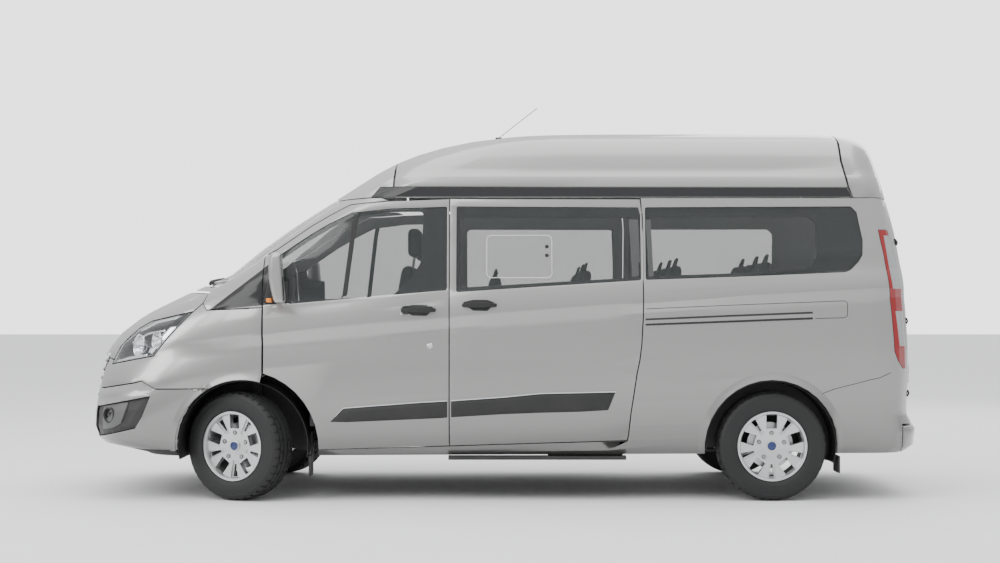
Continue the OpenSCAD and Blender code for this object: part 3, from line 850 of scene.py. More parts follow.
class MINIBUS_OT_window_glass(bpy.types.Operator):
    """Finishes the panes of glass"""

    bl_idname = "minibus.window_glass"
    bl_label = "Window glass"

    def execute(self, context):
        for node, body in GLASS.items():
            piece = cad_copy(node)
            smooth(piece, 30)
            done(piece, node + "_pane", body, look("window"), (node,))
        return {"FINISHED"}


ARCH_FRONT = (1.62, 0.341)
ARCH_REAR = (-1.673, 0.341)
SIDE_NODES = (
    "side_panels", "sliding_doors", "front_door_left", "front_door_right", "front_wings",
    "front_bumper", "front_frame",
)


class MINIBUS_OT_arch_flares(bpy.types.Operator):
    """Adds the swollen lips round the wheel arches and the black liners inside them"""

    bl_idname = "minibus.arch_flares"
    bl_label = "Wheel arches"

    def execute(self, context):
        tree = skin_tree(SIDE_NODES)

        def lip(u, v):
            return 0.017 * (1 - v) ** 1.8 - 0.0022

        runs = (
            ("front_arch_flare", ARCH_FRONT, 106, 63.5, 20),
            ("bumper_arch_flare", ARCH_FRONT, 60, -4, 24),
            ("rear_arch_flare", ARCH_REAR, 186, -6, 64),
        )
        for side, label in SIDES:
            for name, centre, start, end, columns in runs:
                piece = strip_on_skin(
                    tree, side, arc_points(centre, 0.4115, start, end, columns),
                    arc_points(centre, 0.482, start, end, columns), columns, 12, lip, 0.02, 0,
                )
                done(piece, f"{name}_{label}", BODY, look("paint"))
            for name, centre, inner, start, end in (
                ("front", ARCH_FRONT, 0.535, -12, 190), ("rear", ARCH_REAR, 0.745, -4, 196),
            ):
                piece = self.liner(centre, side, inner, 0.94, start, end)
                done(piece, f"{name}_arch_liner_{label}", BODY, look("trim"))
        return {"FINISHED"}

    def liner(self, centre, side, inner, outer, start, end):
        """A ribbed half shell over a wheel, closed towards the middle of the vehicle."""
        radius_inside, radius_over = 0.08, 0.404
        turn_in = 0.45
        piece, points = sheet(72, 16)
        for vert, u, v in points:
            angle = math.radians(start + (end - start) * u)
            if v > turn_in:
                radius = radius_over + 0.002 * math.sin(v * 10 * math.pi)
                y = inner + (outer - inner) * (v - turn_in) / 0.55
            else:
                radius = radius_inside + 0.324 * v / turn_in
                y = inner + 0.004 * math.sin(v * 40)
            vert.co = (
                centre[0] + radius * math.cos(angle), side * y,
                max(centre[1] + radius * math.sin(angle), 0.235),
            )
        thickened(piece, 0.003, 0)
        outward(piece)
        smooth(piece, 50)
        return piece


class MINIBUS_OT_side_trim(bpy.types.Operator):
    """Adds the rub strips, rails, seams, locks, painted reflections on the window pillars, opening pane and
    roof buttons
    """

    bl_idname = "minibus.side_trim"
    bl_label = "Side trim"

    def execute(self, context):
        tree = skin_tree(SIDE_NODES)
        for side, label in SIDES:
            door = f"door_front_{label}"
            front = strip_on_skin(
                tree, side, [(1.07, 0.497), (0.99, 0.578), (0.515, 0.613), (0.345, 0.622)],
                [(1.07, 0.494), (0.97, 0.492), (0.388, 0.517), (0.345, 0.521)], 30, 4,
                lambda u, v: 0.011 * min(1, 6 * v * (1 - v) + 0.25) * min(1, u * 5 + 0.2), 0.016, 0.002,
            )
            done(front, f"door_rub_strip_{label}", door, look("trim"))
            rear = strip_on_skin(
                tree, side,
                [(0.321, 0.623), (0.172, 0.635), (0.0, 0.645), (-0.235, 0.668), (-0.7, 0.678)],
                [(0.321, 0.522), (0.0, 0.541), (-0.235, 0.55), (-0.48, 0.556), (-0.655, 0.566)], 30, 4,
                lambda u, v: 0.011 * min(1, 6 * v * (1 - v) + 0.25) * min(1, (1 - u) * 8 + 0.2), 0.016,
                0.002,
            )
            done(rear, f"sliding_rub_strip_{label}", BODY, look("trim"))
            for name, top, bottom, body in (
                ("door_strip_lip", [(1.04, 0.53), (0.99, 0.584), (0.515, 0.62), (0.345, 0.629)],
                 [(1.04, 0.525), (0.99, 0.577), (0.515, 0.613), (0.345, 0.622)], door),
                ("sliding_strip_lip", [(0.321, 0.63), (0.0, 0.652), (-0.235, 0.675), (-0.705, 0.686)],
                 [(0.321, 0.623), (0.0, 0.645), (-0.235, 0.668), (-0.7, 0.678)], BODY),
            ):
                piece = strip_on_skin(tree, side, top, bottom, 30, 1, 0.008, 0.012, 0.001)
                done(piece, f"{name}_{label}", body, look("alloy"))
            track = strip_on_skin(
                tree, side, [(-0.886, 1.135), (-1.4, 1.157), (-1.925, 1.178)],
                [(-0.886, 1.093), (-1.4, 1.112), (-1.925, 1.132)], 40, 3,
                lambda u, v: 0.004 - 0.006 * math.sin(math.pi * v), 0.008, 0.0008,
            )
            done(track, f"sliding_rail_{label}", BODY, look("gloss_black"))
            for name, line in (
                ("rail_cover_seam", [(-0.888, 1.196), (-1.5, 1.222), (-2.13, 1.246), (-2.142, 1.235),
                                     (-2.14, 1.15), (-2.12, 1.141), (-1.94, 1.136)]),
                ("rear_corner_seam", [(-1.945, 0.655), (-2.06, 0.699), (-2.184, 0.73), (-2.277, 0.755),
                                      (-2.339, 0.767), (-2.412, 0.8)]),
            ):
                piece = self.seam(tree, side, line)
                done(piece, f"{name}_{label}", BODY, look("seal"))
            bar = strip_on_skin(
                skin_tree((f"front_door_glass_{label}",)), side,
                [(0.93, 1.79), (0.944, 1.721), (0.991, 1.344), (1.003, 1.235)],
                [(0.9, 1.79), (0.914, 1.721), (0.961, 1.344), (0.973, 1.235)], 24, 2, 0.0025, 0.004, 0.0006,
            )
            done(bar, f"quarter_light_bar_{label}", door, look("seal"))
            lock = self.on_side(tree, side, turned(
                [(0.0, 0.0), (0.017, 0.0), (0.018, 0.002), (0.015, 0.005), (0.009, 0.0045),
                 (0.008, 0.002), (0.0, 0.002)], (0, 0, 0), (0, side, 0), 40), 0.454, 0.966)
            smooth(lock, 35)
            done(lock, f"door_lock_{label}", door, look("chrome"))
            glass = skin_tree(("side_glass",))
            # Painted reflection: grey sheets just inside the glass, over the black seal of the pillars
            # between the windows
            for name, front, back in (("door", -0.789, -0.846), ("quarter", -0.893, -0.925)):
                painted_reflection_sheet = strip_on_skin(
                    glass, side, [(front, 1.755), (back, 1.755)],
                    [(front - 0.016, 1.396), (back - 0.014, 1.4)], 3, 12, -0.006, 0.001, 0,
                )
                done(painted_reflection_sheet, f"{name}_pillar_film_{label}", BODY, look("pillar"))
        for x in (-0.303, -0.378):
            button = turned(
                [(0.0, -0.01), (0.028, -0.01), (0.028, 0.004), (0.022, 0.011), (0.012, 0.014),
                    (0.0, 0.0145)],
                (x, 0, 2.342), (0, 0, 1), 40)
            smooth(button, 40)
            done(button, f"roof_button_{'front' if x > -0.34 else 'rear'}", BODY,
                look("paint"))
        self.opening_pane()
        return {"FINISHED"}

    def seam(self, tree, side, line, width=0.004):
        points = []
        for i in range(61):
            x, z = along(line, i / 60)
            hit = side_hit(tree, side, x, z)
            points.append((x, hit[0].y if hit[0] is not None else side * 0.985, z))
        return tube(points, width / 2)

    def on_side(self, tree, side, piece, x, z):
        hit = side_hit(tree, side, x, z)
        piece.data.transform(Matrix.Translation((x, hit[0].y, z)))
        return piece

    def opening_pane(self):
        """The framed opening pane in the left sliding door's window, with its two catches."""
        tree = skin_tree(("side_glass",))
        left, right, low, high, round_by = -0.306, 0.1, 1.39, 1.655, 0.03
        ring = []
        for cx, cz, start in (
            (right - round_by, high - round_by, 0), (left + round_by, high - round_by, 90),
            (left + round_by, low + round_by, 180), (right - round_by, low + round_by, 270),
        ):
            ring += arc_points((cx, cz), round_by, start, start + 90, 6)
        points = []
        for x, z in ring:
            hit = side_hit(tree, 1, x, z)
            points.append((x, hit[0].y + 0.0005, z))
        done(tube(points, 0.002, True), "opening_pane_seal", BODY, look("plate"))
        for z in (1.53, 1.585):
            hit = side_hit(tree, 1, -0.275, z)
            catch = turned(
                [(0.0, 0.0), (0.011, 0.0), (0.012, 0.003), (0.009, 0.007), (0.004, 0.008), (0.0, 0.008)],
                (-0.275, hit[0].y, z), (0, 1, 0), 24)
            smooth(catch, 40)
            done(catch, f"pane_catch_{round(z * 1000)}", BODY, look("trim"))


class MINIBUS_OT_door_handles(bpy.types.Operator):
    """Adds the pull handles of the front and sliding doors"""

    bl_idname = "minibus.door_handles"
    bl_label = "Door handles"

    def execute(self, context):
        tree = skin_tree(SIDE_NODES)
        for side, label in SIDES:
            for name, x, z, body in (
                ("front_handle", 0.523, 1.186, f"door_front_{label}"),
                ("sliding_handle", 0.145, 1.217, BODY),
            ):
                cup = strip_on_skin(
                    tree, side, [(x + 0.1, z + 0.022), (x + 0.04, z + 0.036), (x - 0.05, z + 0.036),
                        (x - 0.09, z + 0.02)],
                    [(x + 0.1, z + 0.012), (x + 0.04, z - 0.032), (x - 0.05, z - 0.034),
                        (x - 0.09, z + 0.008)],
                    20, 6, lambda u, v: 0.003, 0.008, 0.0015,
                )
                done(cup, f"{name}_cup_{label}", body, look("trim"))
                grip = self.grip(tree, side, x, z)
                done(grip, f"{name}_{label}", body, look("trim"))
        return {"FINISHED"}

    def grip(self, tree, side, x, z):
        """A bowed bar with a broader middle."""
        hit = side_hit(tree, side, x, z)
        face = abs(hit[0].y)
        piece = block((x - 0.108, face + 0.012, z - 0.011), (x + 0.108, face + 0.03, z + 0.017), 0.004, 2)
        subdivided(piece, 7)
        for vert in piece.data.vertices:
            t = (vert.co.x - x) / 0.108
            vert.co.y -= 0.016 * t ** 4
            vert.co.z = z + (vert.co.z - z) * (1.25 - 0.55 * abs(t) ** 1.5)
            vert.co.y *= side
        if side < 0:
            piece.data.flip_normals()
        smooth(piece, 45)
        return piece


class MINIBUS_OT_mirrors(bpy.types.Operator):
    """Adds the door mirrors: painted shell, dark base and arm, mirror glass and orange lamp"""

    bl_idname = "minibus.mirrors"
    bl_label = "Door mirrors"

    def execute(self, context):
        for side, label in SIDES:
            body = f"door_front_{label}"
            shell = self.shell(side)
            done(shell, f"mirror_shell_{label}", body, look("paint"))
            foot = self.foot(side)
            done(foot, f"mirror_foot_{label}", body, look("trim"))
            glass_piece = self.glass_face(side)
            done(glass_piece, f"mirror_glass_{label}", body, look("chrome"))
            lamp = block((1.42, 1.05, 1.236), (1.452, 1.12, 1.262), 0.006, 2)
            self.flip(lamp, side)
            smooth(lamp, 40)
            done(lamp, f"mirror_lamp_{label}", body, look("orange"))
        return {"FINISHED"}

    def flip(self, piece, side):
        if side < 0:
            piece.data.transform(Matrix.Diagonal((1, -1, 1, 1)))
            piece.data.flip_normals()

    def shell(self, side):
        piece = block((1.352, 1.012, 1.232), (1.44, 1.143, 1.545), 0.024, 3)
        subdivided(piece, 3)
        for vert in piece.data.vertices:
            t = (vert.co.z - 1.39) / 0.157
            v = (vert.co.y - 1.0775) / 0.066
            forward = (vert.co.x - 1.352) / 0.088
            vert.co.x -= 0.030 * forward * (t * t * 0.7 + v * v * 0.5)
            vert.co.x += 0.012 * t + 0.006 * forward * math.exp(-((v + 0.3) / 0.35) ** 2)
            vert.co.y -= 0.014 * max(t, 0) ** 2
            vert.co.z -= 0.006 * v * v
        edit(piece)
        select_faces(piece, lambda f: f.normal.x < -0.9)
        bpy.ops.mesh.inset(thickness=0.006, depth=0)
        bpy.ops.mesh.extrude_region_move(TRANSFORM_OT_translate={"value": (0.012, 0, 0)})
        leave_edit()
        modifier = piece.modifiers.new("round", "SUBSURF")
        modifier.levels = modifier.render_levels = 1
        apply_modifiers(piece)
        self.flip(piece, side)
        smooth(piece, 45)
        return piece

    def glass_face(self, side):
        piece = block((1.356, 1.024, 1.25), (1.361, 1.131, 1.528), 0.002, 2)
        subdivided(piece, 3)
        for vert in piece.data.vertices:
            t = (vert.co.z - 1.39) / 0.157
            vert.co.x += 0.012 * t
            vert.co.y -= 0.01 * max(t, 0) ** 2
        self.flip(piece, side)
        smooth(piece, 40)
        return piece

    def foot(self, side):
        """Two short arms from the door's corner to the shell, on a moulded base."""
        parts = []
        for low, high in ((1.262, 1.292), (1.318, 1.352)):
            arm = block((1.392, 0.93, low), (1.446, 1.062, high), 0.008, 3)
            for vert in arm.data.vertices:
                vert.co.x -= 0.02 * min(max((vert.co.y - 0.95) / 0.11, 0), 1)
            parts.append(arm)
        base = block((1.375, 0.925, 1.232), (1.49, 0.985, 1.385), 0.014, 3)
        for vert in base.data.vertices:
            share = min(max((vert.co.z - 1.232) / 0.153, 0), 1)
            vert.co.x -= 0.03 * share * (1 if vert.co.x > 1.43 else 0)
            vert.co.y -= 0.022 * share
        parts.append(base)
        piece = joined(parts)
        self.flip(piece, side)
        smooth(piece, 40)
        return piece


class MINIBUS_OT_headlamps(bpy.types.Operator):
    """Builds the headlamps: clear lens, grey bucket, two reflector bowls with eyes, and bright blades"""

    bl_idname = "minibus.headlamps"
    bl_label = "Headlamps"

    def execute(self, context):
        lens = cad_copy("headlights")
        bucket = cad_copy("headlights")
        for piece, keep_outer in ((lens, True), (bucket, False)):
            outer = self.outer_faces(piece)
            edit(piece)
            select_faces(piece, lambda f: (f.index in outer) != keep_outer)
            bpy.ops.mesh.delete(type="FACE")
            leave_edit()
            thickened(piece, 0.003)
            smooth(piece, 35)
        done(lens, "headlamp_lenses", BODY, look("lens"), ("headlights",))
        done(bucket, "headlamp_buckets", BODY, look("lamp_bucket"))
        inner = skin_tree(("headlights",))
        for side, label in SIDES:
            for name, x, z, radius in (("main_beam", 2.315, 0.965, 0.07), ("dip_beam", 2.185, 1.0, 0.055)):
                hit = side_hit(inner, side, x, z)
                place = hit[0] - hit[1] * 0.02 if hit[0] is not None else Vector((x, side * 0.8, z))
                way = (1, side * 0.75, 0.1)
                bowl = turned(
                    [(0.012, -0.04), (0.03, -0.038), (radius * 0.8, -0.02), (radius, 0.006),
                        (radius + 0.005, 0.008),
                     (radius + 0.005, 0.0), (radius * 0.84, -0.026), (0.03, -0.044), (0.012, -0.046)],
                    place, way, 48)
                smooth(bowl, 40)
                done(bowl, f"{name}_bowl_{label}", BODY, look("chrome"))
                eye = turned(
                    [(0.0, -0.03), (0.02, -0.03), (0.026, -0.016), (0.024, -0.006), (0.014, 0.002),
                        (0.0, 0.004)],
                    place, way, 40)
                smooth(eye, 50)
                done(eye, f"{name}_eye_{label}", BODY, look("lens"))
            for name, top, bottom in (
                ("lamp_rear_blade", [(2.04, 1.085), (2.125, 0.99), (2.205, 0.913)],
                 [(2.085, 1.082), (2.162, 0.995), (2.235, 0.92)]),
                ("lamp_low_blade", [(2.235, 0.912), (2.36, 0.893), (2.47, 0.866)],
                 [(2.24, 0.898), (2.36, 0.877), (2.478, 0.852)]),
                ("lamp_divider", [(2.12, 1.065), (2.24, 1.045), (2.36, 0.985)],
                 [(2.12, 1.055), (2.24, 1.033), (2.355, 0.973)]),
                ("lamp_brow", [(2.02, 1.15), (2.19, 1.115), (2.30, 1.062)],
                 [(2.06, 1.13), (2.19, 1.103), (2.30, 1.049)]),
            ):
                blade = strip_on_skin(inner, side, top, bottom, 24, 3, -0.008, 0.006, 0.001)
                done(blade, f"{name}_{label}", BODY, look("chrome"))
        return {"FINISHED"}

    def outer_faces(self, piece):
        """The faces that look away from a point inside the nose: the lens, not the bucket."""
        found = set()
        for poly in piece.data.polygons:
            away = Vector((poly.center.x - 1.75, poly.center.y * 1.1, poly.center.z - 0.75)).normalized()
            if poly.normal.dot(away) > 0.45:
                found.add(poly.index)
        return found


class MINIBUS_OT_nose(bpy.types.Operator):
    """Adds the grille bars, fog lamps, number plates, wipers and the tail's fittings"""

    bl_idname = "minibus.nose"
    bl_label = "Nose and plates"

    def execute(self, context):
        tree = skin_tree(("front_grille", "front_bumper", "front_wings", "bonnet"))
        for index, z in enumerate((0.69, 0.745, 0.8, 0.855, 0.9)):
            reach = 0.5 - 0.012 * index
            bar = strip_on_end(
                tree, 1, [(-reach, z + 0.012), (reach, z + 0.012)],
                [(-reach, z - 0.012), (reach, z - 0.012)],
                44, 3, lambda u, v: 0.004 + 0.012 * math.sin(math.pi * v), 0.012, 0.0015,
            )
            done(bar, f"grille_bar_{index}", BODY,
                look("chrome" if index in (0, 4) else "gloss_black"))
        for index, z in enumerate((0.41, 0.45, 0.49)):
            bar = strip_on_end(
                tree, 1, [(-0.42, z + 0.006), (0.35, z + 0.006)], [(-0.42, z - 0.006), (0.35, z - 0.006)],
                36, 2, 0.006, 0.01, 0.0015,
            )
            done(bar, f"intake_bar_{index}", BODY, look("trim"))
        for side, label in SIDES:
            lower = skin_tree(("front_grille",))
            surround = strip_on_skin(
                lower, side, [(2.53, 0.592), (2.46, 0.606), (2.375, 0.622), (2.335, 0.624)],
                [(2.53, 0.435), (2.49, 0.44), (2.43, 0.455), (2.385, 0.48)], 24, 12,
                lambda u, v: 0.004 + 0.01 * min(1, 5 * v * (1 - v)), 0.016, 0.002,
            )
            done(surround, f"fog_lamp_surround_{label}", BODY, look("grey_trim"))
            hit = side_hit(lower, side, 2.466, 0.528)
            way = Vector((0.75, side, -0.05))
            place = hit[0] + way.normalized() * 0.016
            ring = turned(
                [(0.037, -0.03), (0.046, -0.03), (0.05, 0.001), (0.044, 0.006), (0.039, 0.0),
                    (0.034, -0.022)],
                place, way, 48)
            smooth(ring, 40)
            done(ring, f"fog_lamp_ring_{label}", BODY, look("trim"))
            eye = turned(
                [(0.0, -0.02), (0.03, -0.02), (0.038, -0.012), (0.03, -0.006), (0.0, -0.002)], place, way,
                40)
            smooth(eye, 40)
            done(eye, f"fog_lamp_lens_{label}", BODY, look("gloss_black"))
        self.front_plate()
        self.rear_plate()
        self.wipers()
        self.tail()
        return {"FINISHED"}

    def tail(self):
        """The rear doors' handle and hinges, the high brake lamp and the bumper's step pad."""
        doors = skin_tree(("rear_door_left", "rear_door_right"))
        handle = strip_on_end(
            doors, -1, [(-0.18, 1.035), (-0.04, 1.035)], [(-0.18, 0.99), (-0.04, 0.99)], 14, 8,
            lambda u, v: 0.006 + 0.018 * math.sin(math.pi * v) * math.sin(math.pi * u) ** 0.5, 0.012,
        )
        done(handle, "rear_door_handle", "door_rear_right", look("gloss_black"))
        for side, label in SIDES:
            for index, z in enumerate((0.66, 1.12, 1.62)):
                near, far_edge = sorted((side * 0.70, side * 0.775))
                hinge = strip_on_end(
                    doors, -1, [(near, z + 0.022), (far_edge, z + 0.022)],
                    [(near, z - 0.022), (far_edge, z - 0.022)], 6, 6,
                    lambda u, v: 0.004 + 0.01 * math.sin(math.pi * v), 0.01,
                )
                done(hinge, f"rear_hinge_cover_{label}_{index}", f"door_rear_{label}",
                    look("trim"))
        lamp = strip_on_end(
            skin_tree(("roof",)), -1, [(-0.16, 1.945), (0.16, 1.945)], [(-0.16, 1.918), (0.16, 1.918)], 18,
            4,
            lambda u, v: 0.003 + 0.008 * math.sin(math.pi * v), 0.01,
        )
        done(lamp, "high_brake_lamp", BODY, look("tail_lamp"))
        pad = strip_on_end(
            skin_tree(("rear_bumper",)), -1, [(-0.62, 0.44), (0.62, 0.44)],
            [(-0.62, 0.385), (0.62, 0.385)], 44, 10,
            lambda u, v: 0.003 + 0.002 * abs(math.sin(v * 5 * math.pi)), 0.008,
        )
        done(pad, "rear_step_pad", BODY, look("trim"))

    def rear_plate(self):
        """A blank plate in its holder, laid on the rounded rear door."""
        door = skin_tree(("rear_door_left",))
        for name, reach, rise, out, thick, slot, finish in (
            ("rear_number_plate_holder", 0.262, 0.060, 0.004, 0.008, "dark_plastic", "trim"),
            ("rear_number_plate", 0.256, 0.054, 0.006, 0.004, "body_paint", "plate"),
        ):
            sides = (0.40 - reach, 0.40 + reach)
            piece = strip_on_end(
                door, -1, [(y, 0.78 + rise) for y in sides], [(y, 0.78 - rise) for y in sides],
                28, 6, out, thick,
            )
            done(piece, name, "door_rear_left", look(finish))

    def front_plate(self):
        """A blank plate in a thin black holder."""
        x, z = 2.68, 0.575

        def front(face):
            return face.normal.x > 0.9 and face.calc_area() > 0.01

        holder = block((x - 0.004, -0.265, z - 0.062), (x + 0.004, 0.265, z + 0.062), 0.003, 2)
        edit(holder)
        select_faces(holder, front)
        bpy.ops.mesh.inset(thickness=0.005, depth=-0.001)
        leave_edit()
        smooth(holder, 35)
        done(holder, "front_number_plate_holder", BODY, look("trim"))
        blank = block(
            (x + 0.003 - 0.0015, -0.258, z - 0.055), (x + 0.003 + 0.0015, 0.258, z + 0.055), 0.0007, 1)
        edit(blank)
        select_faces(blank, front)
        bpy.ops.mesh.inset(thickness=0.006, depth=0)
        bpy.ops.mesh.inset(thickness=0.0015, depth=0.0006)
        leave_edit()
        smooth(blank, 35)
        done(blank, "front_number_plate", BODY, look("plate"))

    def wipers(self):
        """Two wipers parked along the foot of the windscreen."""
        tree = skin_tree(("windscreen", "front_frame"))

        def lay(start, end, lift, count):
            points = []
            for i in range(count):
                y = start[0] + (end[0] - start[0]) * i / (count - 1)
                z = start[1] + (end[1] - start[1]) * i / (count - 1)
                hit = tree.ray_cast(Vector((3.0, y, z)), Vector((-1, 0, 0)))
                points.append((hit[0].x + lift, y, z + lift))
            return points

        for name, foot, tip in (("left", (0.60, 1.352), (0.04, 1.385)),
            ("right", (-0.02, 1.352), (-0.60, 1.385))):
            arm = tube(lay(foot, tip, 0.014, 13), 0.005)
            done(arm, f"wiper_arm_{name}", BODY, look("trim"))
            start = (foot[0] - 0.1, foot[1] + 0.012)
            blade = tube(lay(start, (tip[0] - 0.04, tip[1] + 0.004), 0.006, 15), 0.0045)
            done(blade, f"wiper_blade_{name}", BODY, look("seal"))
            pivot = turned(
                [(0.0, 0.0), (0.02, 0.0), (0.019, 0.014), (0.012, 0.02), (0.0, 0.021)],
                Vector(lay(foot, tip, 0.002, 2)[0]), (0.5, 0, 1), 28)
            smooth(pivot, 40)
            done(pivot, f"wiper_pivot_{name}", BODY, look("trim"))


class MINIBUS_OT_wheels(bpy.types.Operator):
    """Builds the treaded tyres and finishes the alloy rims"""

    bl_idname = "minibus.wheels"
    bl_label = "Wheels"

    def execute(self, context):
        tyre = self.tyre()
        for end in ("front", "rear"):
            for side, label in SIDES:
                body = f"wheel_{end}_{label}"
                node = f"{end}_wheel_{label}"
                rim = cad_copy(node)
                bevelled(rim, 0.0035, 3, 30)
                smooth(rim, 35)
                done(rim, node + "_rim", body, look("alloy"), (node,))
                low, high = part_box(f"{end}_tyre_{label}")
                turn = math.radians(STEERED) if end == "front" else 0
                place = Matrix.Translation((low + high) / 2) @ Matrix.Rotation(turn, 4, "Z")
                self.hub(place, f"{end}_{label}", side, body)
                if side < 0:
                    place = place @ Matrix.Rotation(math.pi, 4, "Z")
                skin = moved_copy(tyre, place)
                smooth(skin, 40)
                done(skin, f"{end}_{label}_treaded_tyre", body, look("rubber"),
                    (f"{end}_tyre_{label}",))
        bpy.data.objects.remove(tyre)
        return {"FINISHED"}

    def hub(self, place, name, side, body):
        """The plain centre cap and the five wheel nuts."""
        for part, profile, slot, finish in (
            ("centre_cap", [(0.0, 0.052), (0.0255, 0.052), (0.0265, 0.0635), (0.022, 0.0655),
                (0.0, 0.0675)],
             "gloss_black", "cap_blue"),
            ("cap_ring", [(0.0265, 0.052), (0.033, 0.052), (0.032, 0.064), (0.0275, 0.0655),
                (0.0265, 0.062)],
             "alloy", "alloy"),
        ):
            piece = turned(profile, (0, 0, 0), (0, side, 0), 48)
            piece.data.transform(place)
            smooth(piece, 35)
            done(piece, f"{name}_{part}", body, look(finish))
        nuts = []
        for index in range(5):
            angle = math.radians(72 * index + 90)
            nut = turned(
                [(0.0, 0.045), (0.0125, 0.045), (0.0118, 0.058), (0.009, 0.063), (0.0, 0.064)],
                (0.082 * math.cos(angle), 0, 0.082 * math.sin(angle)), (0, side, 0), 6)
            bevelled(nut, 0.0012, 2, 30)
            nuts.append(nut)
        piece = joined(nuts)
        piece.data.transform(place)
        smooth(piece, 30)
        done(piece, f"{name}_wheel_nuts", body, look("steel"))

    def tyre(self):
        """A tyre round the Y axis, its profile turned and its tread blocks cut by extruding."""
        half = [
            (0.203, 0.08), (0.2185, 0.0815), (0.2225, 0.0955), (0.232, 0.1), (0.236, 0.1025),
            (0.25, 0.1055),
            (0.27, 0.1072), (0.29, 0.1062), (0.305, 0.103), (0.3085, 0.1035), (0.312, 0.101),
            (0.324, 0.0955), (0.332, 0.0865),
            (0.3365, 0.074), (0.3375, 0.062), (0.331, 0.0605), (0.331, 0.0535), (0.3385, 0.052),
            (0.3392, 0.0245), (0.332, 0.0235), (0.332, 0.0155), (0.3398, 0.0145),
        ]
        profile = half + [(r, -y) for r, y in reversed(half)]
        piece = turned(profile, (0, 0, 0), (0, 1, 0), 120)
        edit(piece)

        def shoulder(face):
            centre = face.calc_center_median()
            radius = math.hypot(centre.x, centre.z)
            step = int((math.degrees(math.atan2(centre.z, centre.x)) % 360) / 3)
            block_face = 0.0625 < abs(centre.y) < 0.095 and radius > 0.326
            rib = 0.0245 < abs(centre.y) < 0.0515 and radius > 0.337
            return (block_face and step % 3 == 0) or (rib and step % 4 == 1)

        select_faces(piece, shoulder)
        bpy.ops.mesh.inset(thickness=0.0022, depth=0)
        bpy.ops.mesh.inset(thickness=0.0004, depth=-0.005)
        leave_edit()
        return piece


